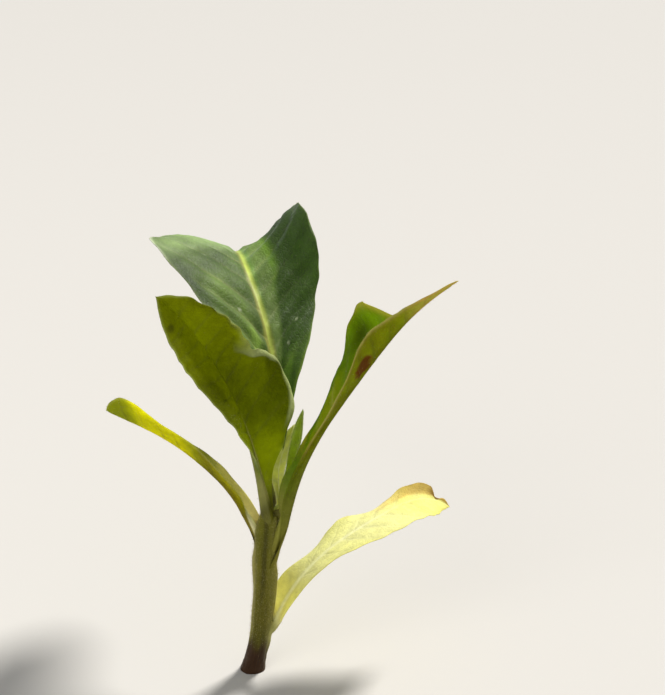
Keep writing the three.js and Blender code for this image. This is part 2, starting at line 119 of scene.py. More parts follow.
# ---- how each leaf looks -------------------------------------------------------------------------
# rows, cols: the mesh's grid. sweep: how far a lateral vein has moved towards the tip when it meets the
# margin, as a share of the leaf. veins: lateral veins a side. quilt: how far the tissue bulges between
# them, in mm. band: half width of the pale midrib above. flesh: how much thicker the stalk is than its solid.
# lit: where light starts to pass. rib_show, vein_mix: how plain the midrib and the veins are. Colours are 0-255
# sRGB at the stalk, the middle and the tip; glow is what light passing through the blade turns into. The margin colour
# is a painted highlight along the margins.
LOOK = {
    "front": {
        "scallop": 0.30, "flesh": 0.5, "lit": 0.03, "rib_show": 0.08, "rib_top": 0.0, "vein_mix": 0.12, "round": (0.8, 3.0), "ripple": 0.45, "rims": [(1, 0.24, 0.62, 1.7, 150), (1, 0.66, 0.90, 0.8, 100)],
        "rows": 270, "cols": 85, "sweep": 0.13, "veins": 8, "quilt": 0.34, "band": 0.62, "seed": 11,
        "upper": [(104, 110, 26), (80, 90, 0), (78, 78, 0)],
        "under": [(120, 128, 44), (104, 118, 26), (104, 116, 24)],
        "rib_up": (170, 166, 96), "rib_low": (140, 138, 74), "vein_up": (84, 94, 0), "vein_low": (120, 132, 50),
        "margin_highlight": (176, 184, 112), "glow": (208, 218, 0), "thin": 0.54, "hair": 1.0,
        "slot": "leaf_olive", "nodes": ["stalk_front", "blade_front"],
    },
    "back": {
        "scallop": 0.20, "flesh": 0.35, "lit": 0.12, "rib_show": 1.0, "vein_mix": 0.20, "round": (0.7, 1.0), "ripple": 0.75, "rims": [(1, 0.30, 0.72, 0.8, 90)],
        "rows": 340, "cols": 97, "sweep": 0.165, "veins": 8, "quilt": 0.85, "band": 1.45, "seed": 23,
        "upper": [(130, 146, 52), (72, 94, 34), (70, 94, 38)],
        "under": [(140, 152, 88), (124, 140, 84), (122, 138, 82)],
        "rib_up": (134, 142, 58), "rib_low": (176, 186, 100), "vein_up": (112, 138, 78), "vein_low": (146, 160, 100),
        "margin_highlight": (146, 166, 104), "glow": (150, 190, 20), "thin": 0.36, "hair": 0.8,
        "slot": "leaf_bluish", "nodes": ["stalk_back", "blade_back", "blade_back_tip"],
    },
    "left": {
        "scallop": 0.10, "flesh": 0.35, "lit": 0.10, "rib_show": 0.7, "vein_mix": 0.35, "round": (0.6, 0.9), "ripple": 0.30, "rims": [],
        "rows": 210, "cols": 57, "sweep": 0.07, "veins": 7, "quilt": 0.20, "band": 0.5, "seed": 37,
        "upper": [(240, 236, 176), (214, 222, 96), (170, 190, 40)],
        "under": [(124, 120, 34), (188, 182, 4), (140, 152, 10)],
        "rib_up": (232, 232, 150), "rib_low": (134, 124, 36), "vein_up": (200, 206, 110), "vein_low": (172, 178, 60),
        "margin_highlight": (214, 220, 120), "glow": (230, 232, 2), "thin": 0.60, "hair": 1.0,
        "slot": "leaf_yellow", "nodes": ["stalk_left", "blade_left"],
    },
    "right": {
        "scallop": 0.16, "flesh": 0.75, "lit": 0.16, "rib_show": 0.8, "vein_mix": 0.30, "round": (0.6, 1.0), "ripple": 0.40, "rims": [(-1, 0.52, 0.76, 0.9, 110)],
        "rows": 300, "cols": 77, "sweep": 0.10, "veins": 7, "quilt": 0.28, "band": 0.55, "seed": 41,
        "upper": [(160, 162, 70), (78, 110, 2), (128, 142, 20)],
        "under": [(108, 112, 38), (122, 114, 12), (152, 126, 20)],
        "rib_up": (186, 192, 96), "rib_low": (110, 112, 42), "vein_up": (120, 150, 56), "vein_low": (118, 116, 20),
        "margin_highlight": (216, 210, 120), "glow": (180, 214, 0), "thin": 0.50, "hair": 1.2,
        "slot": "leaf_olive", "nodes": ["stalk_right", "blade_right"],
    },
    "low": {
        "scallop": 0.20, "flesh": 0.2, "lit": 0.0, "rib_show": 0.25, "vein_mix": 0.12, "round": (0.7, 1.0), "ripple": 0.40, "rims": [], "notch": [(-1, 0.90, 0.85)],
        "rows": 240, "cols": 65, "sweep": 0.11, "veins": 7, "quilt": 0.09, "band": 0.8, "seed": 53,
        "upper": [(252, 248, 176), (250, 250, 178), (246, 246, 164)],
        "under": [(250, 240, 160), (250, 246, 156), (236, 214, 104)],
        "rib_up": (252, 252, 200), "rib_low": (246, 240, 176), "vein_up": (252, 252, 190), "vein_low": (240, 232, 150),
        "margin_highlight": (244, 238, 140), "glow": (253, 250, 176), "thin": 0.34, "hair": 0.7,
        "slot": "leaf_pale", "nodes": ["stalk_low", "blade_low"],
    },
    "bud_a": {
        "scallop": 0.0, "flesh": 0.0, "lit": 0.0, "rib_show": 0.4, "vein_mix": 0.5, "round": (0.4, 0.5), "ripple": 0.10, "rims": [],
        "rows": 96, "cols": 33, "sweep": 0.05, "veins": 5, "quilt": 0.10, "band": 0.3, "seed": 61,
        "upper": [(246, 250, 104), (246, 252, 110), (220, 230, 84)],
        "under": [(250, 252, 170), (250, 252, 170), (226, 234, 130)],
        "rib_up": (248, 250, 176), "rib_low": (246, 250, 170), "vein_up": (232, 240, 150), "vein_low": (236, 242, 150),
        "margin_highlight": (236, 240, 160), "glow": (254, 255, 150), "thin": 0.20, "hair": 2.4,
        "slot": "leaf_young", "nodes": ["bud_a"],
    },
    "bud_b": {
        "scallop": 0.0, "flesh": 0.0, "lit": 0.0, "rib_show": 0.4, "vein_mix": 0.5, "round": (0.4, 0.5), "ripple": 0.10, "rims": [],
        "rows": 100, "cols": 33, "sweep": 0.05, "veins": 5, "quilt": 0.10, "band": 0.3, "seed": 67,
        "upper": [(190, 204, 90), (140, 158, 52), (110, 134, 44)],
        "under": [(196, 206, 90), (146, 158, 50), (118, 138, 44)],
        "rib_up": (196, 206, 100), "rib_low": (190, 200, 96), "vein_up": (160, 176, 72), "vein_low": (160, 174, 72),
        "margin_highlight": (214, 220, 150), "glow": (200, 220, 20), "thin": 0.45, "hair": 2.4,
        "slot": "leaf_young", "nodes": ["bud_b"],
    },
}


# ---- curves and noise ----------------------------------------------------------------------------
def curve(v, t):
    """A smooth curve through evenly spaced values, straight at its ends."""
    v = np.asarray(v, float)
    n = len(v) - 1
    x = np.clip(t, 0, 1) * n
    i = np.minimum(np.floor(x).astype(int), n - 1)
    f = x - i
    e = np.concatenate([[2 * v[0] - v[1]], v, [2 * v[n] - v[n - 1]]])
    a, b, c, d = e[i], e[i + 1], e[i + 2], e[i + 3]
    return 0.5 * (2 * b + (c - a) * f + (2 * a - 5 * b + 4 * c - d) * f * f + (3 * b - a - 3 * c + d) * f**3)


def smooth(t):
    t = np.clip(t, 0, 1)
    return t * t * (3 - 2 * t)


def unit(v):
    return v / np.maximum(np.linalg.norm(v, axis=-1, keepdims=True), 1e-12)


def lattice(i, j, k, seed):
    h = (i * 73856093) ^ (j * 19349663) ^ (k * 83492791) ^ (seed * 40503011)
    h &= 0x7FFFFFFF
    h = ((h ^ (h >> 13)) * 1274126177) & 0x7FFFFFFF
    h = ((h ^ (h >> 15)) * 668265263) & 0x7FFFFFFF
    return ((h >> 8) & 0xFFFF) / 32767.5 - 1


def noise(x, y, z, seed):
    """Smooth noise from -1 to 1 at points in space."""
    x, y, z = np.broadcast_arrays(np.asarray(x, float), np.asarray(y, float), np.asarray(z, float))
    i, j, k = (np.floor(c).astype(np.int64) for c in (x, y, z))
    f, g, h = (smooth(c - np.floor(c)) for c in (x, y, z))
    out = 0
    for di in (0, 1):
        for dj in (0, 1):
            for dk in (0, 1):
                w = (f if di else 1 - f) * (g if dj else 1 - g) * (h if dk else 1 - h)
                out = out + w * lattice(i + di, j + dj, k + dk, seed)
    return out


def fractal(x, y, z, seed, octaves=3):
    out, size, total = 0, 1.0, 0.0
    for o in range(octaves):
        f = 2.03**o
        out = out + size * noise(x * f + 7.1 * o, y * f - 3.3 * o, z * f + 1.7 * o, seed + 97 * o)
        total += size
        size *= 0.5
    return out / total


def lin(rgb):
    """0-255 sRGB to linear."""
    c = np.asarray(rgb, float) / 255
    return np.where(c <= 0.04045, c / 12.92, ((c + 0.055) / 1.055) ** 2.4)


def blend(a, b, f):
    f = np.clip(f, 0, 1)[..., None]
    return a * (1 - f) + b * f


def stops(colours, t):
    """A colour along three stops at 0, a half and 1."""
    a, b, c = (lin(x) for x in colours)
    t = np.clip(t, 0, 1)
    return np.where((t < 0.5)[..., None], blend(a, b, smooth(t * 2)), blend(b, c, smooth(t * 2 - 1)))


# ---- meshes --------------------------------------------------------------------------------------
def make_mesh(name, verts, faces, slots, slot_of=None, uv=None, attrs=None):
    """verts in mm. faces is a list of arrays of 3 or 4 corners each, uv a list of arrays that match them."""
    me = bpy.data.meshes.new(name)
    me.vertices.add(len(verts))
    me.vertices.foreach_set("co", (np.asarray(verts) * MM).astype(np.float32).ravel())
    corners = np.concatenate([f.ravel() for f in faces]).astype(np.int32)
    sizes = np.concatenate([np.full(len(f), f.shape[1]) for f in faces])
    me.loops.add(len(corners))
    me.loops.foreach_set("vertex_index", corners)
    me.polygons.add(len(sizes))
    me.polygons.foreach_set("loop_start", np.concatenate([[0], np.cumsum(sizes)[:-1]]).astype(np.int32))
    if slot_of is not None:
        me.polygons.foreach_set("material_index", np.concatenate(slot_of).astype(np.int32))
    me.update(calc_edges=True)
    if uv is not None:
        layer = me.uv_layers.new(name="OFBake")
        layer.data.foreach_set("uv", np.concatenate([u.reshape(-1) for u in uv]).astype(np.float32))
    for key, value in (attrs or {}).items():
        if value.ndim == 1:
            a = me.attributes.new(key, "FLOAT", "POINT")
            a.data.foreach_set("value", value.astype(np.float32))
        elif value.shape[1] == 3:
            a = me.attributes.new(key, "FLOAT_VECTOR", "POINT")
            a.data.foreach_set("vector", value.astype(np.float32).ravel())
        else:
            a = me.attributes.new(key, "FLOAT_COLOR", "POINT")
            a.data.foreach_set("color", value.astype(np.float32).ravel())
    me.shade_smooth()
    for m in slots:
        me.materials.append(m)
    ob = bpy.data.objects.new(name, me)
    bpy.context.scene.collection.objects.link(ob)
    return ob


def rgba(c):
    return np.concatenate([c, np.ones(c.shape[:-1] + (1,))], -1)


def loft(rings, upper):
    """A closed skin through rings of points (rows, around, 3), each the same way round. upper says which
    faces around a ring take the first material. Returns vertices, faces, slots and uv."""
    n, k = rings.shape[:2]
    idx = np.arange(n * k).reshape(n, k)
    nxt = np.roll(idx, -1, axis=1)
    quads = np.stack([idx[:-1], nxt[:-1], nxt[1:], idx[1:]], -1).reshape(-1, 4)
    slot = np.broadcast_to(np.where(upper, 0, 1)[None], (n - 1, k)).reshape(-1)
    u = np.arange(k + 1) / k
    v = 0.01 + 0.98 * np.arange(n) / (n - 1)
    U0, V0 = np.meshgrid(u[:-1], v[:-1])
    U1, V1 = np.meshgrid(u[1:], v[1:])
    uvq = np.stack([U0, V0, U1, V0, U1, V1, U0, V1], -1).reshape(-1, 4, 2)
    verts = np.concatenate([rings.reshape(-1, 3), [rings[0].mean(0)], [rings[-1].mean(0)]])
    a, b = n * k, n * k + 1
    first = np.stack([idx[0], np.full(k, a), nxt[0]], -1)
    last = np.stack([idx[-1], nxt[-1], np.full(k, b)], -1)
    mid = (u[:-1] + u[1:]) / 2
    uvf = np.stack([u[:-1], np.full(k, 0.01), mid, np.zeros(k), u[1:], np.full(k, 0.01)], -1).reshape(-1, 3, 2)
    uvl = np.stack([u[:-1], np.full(k, 0.99), u[1:], np.full(k, 0.99), mid, np.ones(k)], -1).reshape(-1, 3, 2)
    cap = np.where(upper, 0, 1)
    return verts, [quads, first, last], [slot, cap, cap], [uvq, uvf, uvl]


# ---- the stem's middle ---------------------------------------------------------------------------
def stem_x(z):
    return curve(STEM["lean"], np.asarray(z, float) / STEM["height"])


def stem_radius(z):
    r = curve(STEM["radius"], z / STEM["height"]) + STEM["flare"] * np.exp(-z / STEM["reach"])
    k = np.maximum(0, z - STEM["crown_from"]) / (STEM["height"] - STEM["crown_from"])
    return r + (STEM["crown_radius"] - r) * k * k


def stem_tint(p):
    """The colour of the stem's skin at points in space, with painted highlights at its sides and painted shade in the
    seam by the front stalk.
    """
    x, y, z = p[..., 0], p[..., 1], p[..., 2]
    base = stops([(70, 66, 16), (100, 96, 22), (102, 102, 20)], z / 46)
    a = np.arctan2(y, x - stem_x(z))
    patch = fractal(np.cos(a) * 1.6, np.sin(a) * 1.6, z / 7.0, 111, 3)
    base = base * (1 + 0.14 * patch)[..., None]
    # painted highlight: paler where it turns towards the two sides, most of all on the left, where backlit hairs catch
    # the light
    rim = (np.clip(np.abs(np.cos(a)), 0, 1) ** 6 + 0.5 * np.clip(np.cos(a + 0.5), 0, 1) ** 5) * smooth((z - 4) / 6)
    base = blend(base, lin((156, 150, 76)), 0.6 * rim)
    base = blend(base, lin((186, 180, 112)), 0.6 * np.clip(-np.cos(a), 0, 1) ** 8 * smooth((z - 6) / 6))
    # painted shade: the seam between the front and the right stalk is drawn in, and a dark band is painted along it
    gap = np.exp(-(((a + 1.66 - 0.006 * (z - 34)) / 0.21) ** 2)) * smooth((z - 14) / 14)
    base = blend(base, lin((46, 44, 8)), 0.62 * gap)
    brown = 1 - smooth((z - 5.2 + 1.6 * patch) / 5.5)
    base = blend(base, lin((60, 37, 22)), 0.95 * brown)
    # the side towards the lowest leaf is paler
    pale = np.exp(-(((z - 10.5) / 4.5) ** 2)) * np.exp(-((a / 0.55) ** 2))
    return blend(base, lin((210, 208, 128)), 0.85 * pale)


# ---- leaves --------------------------------------------------------------------------------------
FINE = 480


def midrib(leaf):
    s = np.linspace(0, 1, FINE + 1)
    az, el, roll = (curve(leaf[k], s) * RAD for k in ("azimuth", "rise", "roll"))
    T = np.stack([np.cos(el) * np.cos(az), np.cos(el) * np.sin(az), np.sin(el)], 1)
    step = (T[1:] + T[:-1]) * leaf["length"] / FINE / 2
    P = np.array(leaf["base"]) + np.concatenate([np.zeros((1, 3)), np.cumsum(step, 0)])
    S0 = np.stack([np.sin(az), -np.cos(az), 0 * az], 1)
    N0 = np.cross(S0, T)
    c, d = np.cos(roll)[:, None], np.sin(roll)[:, None]
    return {"P": P, "T": T, "S": S0 * c + N0 * d, "N": -S0 * d + N0 * c}


def along(rows, s):
    x = np.clip(s, 0, 1) * FINE
    i = np.minimum(np.floor(x).astype(int), FINE - 1)
    f = (x - i)[..., None]
    return {k: (r[i] * (1 - f) + r[i + 1] * f) for k, r in rows.items()}


def middle_line(b, length, fr, s):
    """The midrib's points; below its base it runs on down into the stem."""
    q = np.clip(-s, 0, 1)
    P = fr["P"] - fr["T"] * (b["foot"] * q)[..., None]
    above = np.where(s > 0, s * length, -q * b["foot"])
    k = np.clip((b["tuck"] - above) / (b["tuck"] + b["foot"]), 0, 1) ** 1.5
    P[..., 0] += (stem_x(P[..., 2]) - P[..., 0]) * k
    P[..., 1] -= P[..., 1] * k
    return P


def rib_at(b, s):
    return b["rib"] * (1 - np.clip(s, 0, 1)) ** 0.9 + 0.08


def core_at(b, s):
    return b["core"] * (1 - smooth(s / max(b["split"], 0.3)))


def grid_normals(p):
    return unit(np.cross(np.gradient(p, axis=1), np.gradient(p, axis=0)))


def leaf_surface(name):
    """The leaf's two faces as grids of points, with the masks that its colours and hairs need."""
    leaf, b, look = LEAVES[name], BUILD[name], LOOK[name]
    seed, length = look["seed"], leaf["length"]
    rng = np.random.default_rng(seed)
    rows = midrib(leaf)
    n_foot = max(8, int(look["rows"] * b["foot"] / length))
    r = np.concatenate([np.linspace(-1, 0, n_foot, endpoint=False), np.linspace(0, 1, look["rows"])])
    v = np.linspace(-1, 1, look["cols"])
    a = np.abs(v)
    u = np.sign(v) * (0.5 * a**1.3 + 0.5 * (1 - (1 - a) ** 1.5))
    R, U = np.meshgrid(r, u, indexing="ij")
    m = np.abs(U)
    env = smooth((R - b["split"] + 0.02) / 0.16) * (1 - smooth((R - 0.55) / 0.45))
    s = R + look["sweep"] * env * m**1.15
    at = np.clip(s, 0, 1)
    q = np.clip(-s, 0, 1)

    fr = along(rows, s)
    P = middle_line(b, length, fr, s)

    right = U >= 0
    side = np.where(right, 1.0, -1.0)
    y = s * length
    # lateral veins: alternate on the two sides, each a line of the swept grid
    first, last, nv = b["split"] + 0.05, 0.93, look["veins"]
    step = (last - first) / nv
    lines = {}
    for sd, shift in ((-1, 0.0), (1, 0.46)):
        t = (np.arange(nv) + shift + rng.uniform(-0.10, 0.10, nv)) / nv
        lines[sd] = first + (last - first) * np.clip(t, 0, 1) ** 0.94
    to_vein = np.minimum(
        np.where(right, 9.0, np.abs(R[..., None] - lines[-1]).min(-1)),
        np.where(right, np.abs(R[..., None] - lines[1]).min(-1), 9.0),
    )
    w = np.where(right, curve(leaf["width_r"], at), curve(leaf["width_l"], at))
    floor = 0.35 * (1 - smooth((at - 0.93) / 0.07)) + 0.03
    w = np.maximum(w, floor) * (1 - 0.45 * q)
    w = w * np.sqrt(np.clip(1 - (np.clip(at - 0.97, 0, 1) / 0.0305) ** 2, 0.0005, 1))
    on_blade = smooth((at - b["split"]) / 0.12)
    # the margin wanders a little, juts out where a vein meets it and is finely crenate
    scallop = look["scallop"] * np.cos(math.pi * np.clip(to_vein / step, 0, 1) * 2)
    if name == "right":
        # the far half ends in a round lobe; towards the tip the near half is narrow
        w = w + 3.4 * (~right) * np.exp(-(((at - 0.728) / 0.048) ** 2))
        w = w * (1 - 0.34 * right * smooth((at - 0.72) / 0.12))
    if name == "front":
        # its outer margin is nearly even, its inner one stands out a little more at mid length
        scallop = scallop * np.where(right, 1.0, 0.45)
        scallop = scallop + 1.0 * right * smooth((at - 0.28) / 0.1) * (1 - smooth((at - 0.52) / 0.12))
    ragged = 0.020 * noise(y / 7.0, side * 5.3, 0, seed) + 0.010 * noise(y / 2.1, side * 9.1, 3, seed)
    mm = ragged * w + scallop * np.minimum(w / 6, 1)
    for sd, s0, s1, arc, turn in look.get("rims", []):
        part = (side == sd) * smooth((at - s0) / 0.05) * (1 - smooth((at - s1) / 0.05))
        mm = mm + part * arc * (1 - 1 / (turn * RAD))
    for sd, s0, deep in look.get("notch", []):
        mm = mm - (side == sd) * deep * w * smooth((at - s0) / 0.02) * (1 - 0.7 * smooth((at - s0 - 0.025) / 0.04))
    w = w + mm * on_blade * smooth(m)
    fold = np.where(right, curve(leaf["fold_r"], at), curve(leaf["fold_l"], at)) * RAD
    none = [0, 0]
    c = np.where(right, curve(leaf.get("curl_r", none), at), curve(leaf.get("curl_l", none), at)) * RAD
    ang = fold - c / 2 + c * m / 2
    amp, count, phase = (np.where(right, leaf["wave_r"][j], leaf["wave_l"][j]) for j in range(3))
    x = w * m
    flesh = 1 + look["flesh"] * (1 - smooth(at / max(b["split"] * 1.1, 0.1))) * (1 - smooth(q / 0.4))
    rib, core = rib_at(b, s) * flesh, core_at(b, s) * flesh
    if name == "front":
        rib = rib * (1 - 0.65 * smooth((at - 0.28) / 0.3))
    # the fold is a rounded channel rather than a crease
    rho = np.minimum(look["round"][0] + (look["round"][1] - look["round"][0]) * smooth(at / 0.6), 0.45 * w)
    up = (
        np.sin(ang) * (np.sqrt(x * x + rho * rho) - rho * (1 - m))
        + amp * np.minimum(w / 8, 1) * m**3 * np.sin(2 * math.pi * (count * at + phase))
        + b["keel"] * rib * (1 - m)
    )
    across = x * np.cos(ang) * np.sign(U)
    M = P + fr["S"] * across[..., None] + fr["N"] * up[..., None]
    n = grid_normals(M)
    # margins that are rolled back
    for sd, s0, s1, arc, turn in look.get("rims", []):
        part = (side == sd) * smooth((at - s0) / 0.05) * (1 - smooth((at - s1) / 0.05))
        part = part * (1 + 0.25 * noise(y / 3.1, 0, 6, seed + 8))
        a = np.clip(arc * part - (1 - m) * w, 0, None)
        bend = arc / (turn * RAD)
        out = unit(np.gradient(M, axis=1)) * side[..., None]
        M = M + out * (bend * np.sin(a / bend) - a)[..., None] - n * (bend * (1 - np.cos(a / bend)))[..., None]
    n = grid_normals(M)

    # the veins are a little wavy
    wob = R + 0.10 * step * noise(x / 4.2, y / 9.0, side * 4.7, seed + 1)
    d = np.full(R.shape, 99.0)
    near = np.zeros(R.shape)
    for sd in (-1, 1):
        for i, line in enumerate(lines[sd]):
            e = np.where(side == sd, np.abs(wob - line), 99.0) * length * 0.86
            near = np.where(e < d, rng.uniform(0.75, 1.15), near)
            d = np.minimum(d, e)
    gap = step * length * 0.86
    lat = on_blade * near * (1 - 0.72 * m) * (1 - smooth((at - 0.86) / 0.12)) * smooth(x / 0.8)
    vein_w = 0.44 - 0.20 * m
    vein = np.exp(-((d / vein_w) ** 2)) * lat
    # the tissue between them bulges upwards
    belly = smooth(m / 0.16) * (1 - 0.75 * smooth((m - 0.72) / 0.28))
    bulge = (1 - np.exp(-((d / (0.30 * gap)) ** 2))) * belly * on_blade * (1 - smooth((at - 0.84) / 0.14))
    size = np.minimum(w / 12, 1)
    pucker = fractal(x * side / 2.3, y / 2.3, 1.0, seed + 2, 3) * belly * on_blade
    ripple = fractal(x * side / 7.5, y / 9.5, 2.0, seed + 3, 2) * on_blade * smooth(m / 0.3)
    lift = look["quilt"] * size * (bulge - 0.5) + 0.16 * size * pucker + look["ripple"] * size * ripple
    # the stalk is finely ribbed along its length
    streak = fractal(x * side * 3.4 / np.maximum(w, 1) * 1.4, y / 16.0, 5.0, seed + 4, 2) * (1 - on_blade)
    M2 = M + n * lift[..., None]
    n2 = unit(grid_normals(M2))

    thin = 1 - 0.52 * smooth((m - 0.86) / 0.14) * on_blade
    half = (0.15 + 0.10 * (1 - on_blade)) * thin
    tip = 1 - smooth((at - 0.965) / 0.035)
    half = half * (0.35 + 0.65 * tip)
    band = look["band"] * (1 - 0.62 * at) + 0.05
    rib_up = np.exp(-((x / band) ** 4))
    rib_w = 0.30 + 0.78 * rib
    ridge = np.exp(-((x / rib_w) ** 2.6))
    fill = np.exp(-((x / (0.5 + core)) ** 2))
    top = M2 + n2 * (half + 0.10 * rib_up * on_blade * (1 - at) - 0.10 * vein + 0.05 * streak)[..., None]
    top = top + fr["N"] * (0.62 * core * fill)[..., None]
    low = M2 - n2 * (half + rib * ridge * tip + 0.24 * vein * size + 0.06 * streak)[..., None]
    return {
        "name": name, "top": top, "low": low, "mid": M2, "n": n2, "half": half, "s": s, "at": at, "u": U, "m": m,
        "w": w, "x": x, "y": y, "side": side, "vein": vein, "rib_up": rib_up, "ridge": ridge, "bulge": bulge,
        "blade": on_blade, "r": R, "d": d, "lat": lat, "rows": rows, "fr": fr, "tip": tip, "pucker": pucker,
    }


def spot(g, s, across, long, wide, seed):
    """A soft, ragged patch on the blade round a place given by s and mm across, long and wide in mm."""
    length = LEAVES[g["name"]]["length"]
    a = (g["s"] - s) * length / long
    c = (g["x"] * g["side"] - across) / wide
    rough = 0.35 * fractal(g["x"] * g["side"] / 1.3, g["y"] / 1.3, 9.0, seed, 2)
    return 1 - smooth((np.sqrt(a * a + c * c) + rough - 0.55) / 0.6)


def leaf_colours(g):
    """Colour above, colour below and the colour of light passing through, at every point of the grid."""
    name = g["name"]
    look, b, seed = LOOK[name], BUILD[name], LOOK[name]["seed"]
    length = LEAVES[name]["length"]
    # 0 along the stalk, then the blade's own stops
    t = np.clip((g["at"] - b["split"] * 0.55) / (1 - b["split"] * 0.55), 0, 1)
    t = np.where(g["at"] < b["split"], 0.5 * smooth((g["at"] - 0.35 * b["split"]) / max(b["split"] * 0.9, 0.12)), 0.5 + 0.5 * t)
    if b["split"] == 0:
        t = g["at"]
    patch = fractal(g["x"] * g["side"] / 9.0, g["y"] / 11.0, 3.0, seed + 5, 3)
    edge_mm = (1 - g["m"]) * g["w"]
    # painted highlight: a pale band along the margins, where light catches the rounded margin
    margin_highlight = np.exp(-((edge_mm / 0.42) ** 2)) * g["blade"]
    # a broader fainter halo along the veins
    halo = np.exp(-((g["d"] / 1.15) ** 2)) * g["lat"]
    near_rib = np.exp(-((g["x"] / 2.6) ** 2)) * g["blade"]

    up = stops(look["upper"], t)
    up = up * (1 + 0.16 * patch)[..., None]
    up = blend(up, lin(look["vein_up"]), 0.35 * halo + 0.16 * near_rib)
    # painted shade in the hollows along the lateral veins, painted light on the bulges between them and on the puckers
    quilt_shade = 0.26 if name == "back" else 0.10
    up = up * (1 + quilt_shade * (g["bulge"] - 0.6) + 0.10 * g["pucker"])[..., None]
    plain = np.where(g["side"] > 0, 0.4, 1.0) if name == "back" else 1.0
    up = blend(up, lin(look["rib_up"]), look["vein_mix"] * plain * np.clip(g["vein"], 0, 1))
    rib_fade = 1 - 0.55 * smooth((g["at"] - 0.45) / 0.5)
    top_show = look.get("rib_top", 1.0)
    rib_fade = rib_fade * (top_show + (1 - top_show) * (1 - smooth((g["at"] - 0.28) / 0.2)))
    up = blend(up, lin(look["rib_up"]), 0.92 * g["rib_up"] * rib_fade * smooth(g["at"] / 0.10))
    up = blend(up, lin(look["margin_highlight"]), 0.55 * margin_highlight)

    lo = stops(look["under"], t)
    lo = lo * (1 + 0.12 * patch)[..., None]
    lo = blend(lo, lin(look["vein_low"]), 0.35 * halo + 0.25 * near_rib)
    lo = blend(lo, lin(look["rib_low"]), look["vein_mix"] * np.clip(g["vein"], 0, 1))
    fade = look["rib_show"] + (1 - look["rib_show"]) * (1 - smooth((g["at"] - 0.22) / 0.25))
    lo = blend(lo, lin(look["rib_low"]), 0.85 * fade * g["ridge"] * (1 - 0.5 * smooth((g["at"] - 0.6) / 0.4)))
    lo = blend(lo, lin(look["margin_highlight"]), 0.6 * margin_highlight)

    glow = np.broadcast_to(lin(look["glow"]), up.shape) * (1 + 0.14 * patch)[..., None]
    glow = glow * (1 - 0.25 * np.clip(g["vein"], 0, 1))[..., None]
    lit = smooth((g["at"] - look["lit"]) / 0.10)
    thin = look["thin"] * (0.10 + 0.90 * lit) * (1 - 0.8 * fade * np.clip(g["ridge"] * (1 - 0.6 * g["at"]), 0, 1))
    if name == "back":
        # painted light and shade: the left half, which faces the light, is painted lighter and paler towards its
        # margin; the right half, which turns away from the light beyond a soft bend, is painted darker
        left, right = g["side"] < 0, g["side"] > 0
        s, m = g["r"], g["m"]
        far = smooth((s - 0.575) / 0.085)
        f = 1.25 - 0.34 * np.exp(-(((m - 0.2) / 0.17) ** 2)) * (1 - far)
        f = f * (1 + 0.5 * np.exp(-(((m - 0.62 + 0.9 * (s - 0.47)) / 0.16) ** 2)) * (1 - smooth((s - 0.50) / 0.10)))
        f = f * (1 - 0.35 * smooth((m - 0.80) / 0.12) * (1 - smooth((s - 0.44) / 0.08)))
        mottle = fractal(g["x"] / 3.8, (g["r"] * length + 0.3 * g["x"]) / 3.0, 4.0, seed + 12, 2)
        # a furrow runs across the left half and is painted dark as shade; above it is a pale, bluish painted sheen;
        # below it a band by the midrib is painted light, and a blotch by the margin is darker
        furrow = 0.746 - 0.36 * m + 0.012 * mottle
        f = f * (1 - 0.32 * np.exp(-(((s - furrow) / 0.032) ** 2)) * smooth((m - 0.12) / 0.15))
        f = f * (1 + 0.75 * np.exp(-(((m - 0.33) / 0.13) ** 2)) * (1 - smooth((s - 0.49) / 0.06)))
        f = f * (1 + 1.3 * np.exp(-(((s - 0.35) / 0.05) ** 2)) * np.exp(-(((m - 0.33) / 0.13) ** 2)))
        f = f * (1 - 0.25 * np.exp(-(((s - 0.39) / 0.04) ** 2)) * smooth((m - 0.55) / 0.12))
        f = f * (1 + 0.30 * mottle * smooth((m - 0.1) / 0.2))
        up = up * np.where(left[..., None], f[..., None] * np.array([1.22, 1.05, 1.06]), 1.0)
        painted_sheen = left * smooth((s - furrow - 0.035) / 0.045) * (0.55 + 0.45 * smooth((m - 0.08) / 0.15))
        up = blend(up, up * np.array([2.9, 2.6, 5.6]), painted_sheen)
        up = up * (1 + 0.38 * left * smooth((s - 0.66) / 0.12))[..., None]
        # painted light and shade on the right half: light beside the midrib and low down, darker where it turns away
        # from the light
        soft = 2.25 - 1.75 * smooth((m - 0.24 - 0.08 * smooth((s - 0.52) / 0.06)) / 0.13) + 0.25 * smooth((m - 0.8) / 0.2)
        low = (1 - smooth((s - 0.285) / 0.05)) * smooth((m - 0.3) / 0.1)
        soft = soft * (1 + 2.6 * low * (1 - 0.75 * smooth((m - 0.56) / 0.2)))
        soft = soft * (1 - 0.28 * smooth((s - 0.54) / 0.06) * smooth((m - 0.40) / 0.1))
        soft = soft * (1 + 0.45 * smooth((s - 0.60) / 0.05) * (1 - smooth((m - 0.30) / 0.08)))
        up = up * np.where(right, soft, 1)[..., None]
        up = blend(up, up * np.array([1.02, 0.84, 1.1]), right * (1 - smooth((m - 0.24) / 0.13)) * smooth((m - 0.05) / 0.08))
        up = blend(up, up * np.array([0.98, 1.02, 0.38]), right * smooth((m - 0.24) / 0.13))
    if name == "front":
        # the half towards the light is thicker; the inner margin is rolled back and pale
        thin = thin * np.where(g["side"] > 0, 0.86, 1.0)
        turned = (g["side"] > 0) * (1 - smooth((edge_mm - 1.5) / 0.6))
        turned = turned * smooth((g["at"] - 0.30) / 0.08) * (1 - smooth((g["at"] - 0.62) / 0.12))
        up = blend(up, lin((168, 178, 118)), 0.85 * turned)
        thin = thin * (1 - 0.6 * turned)
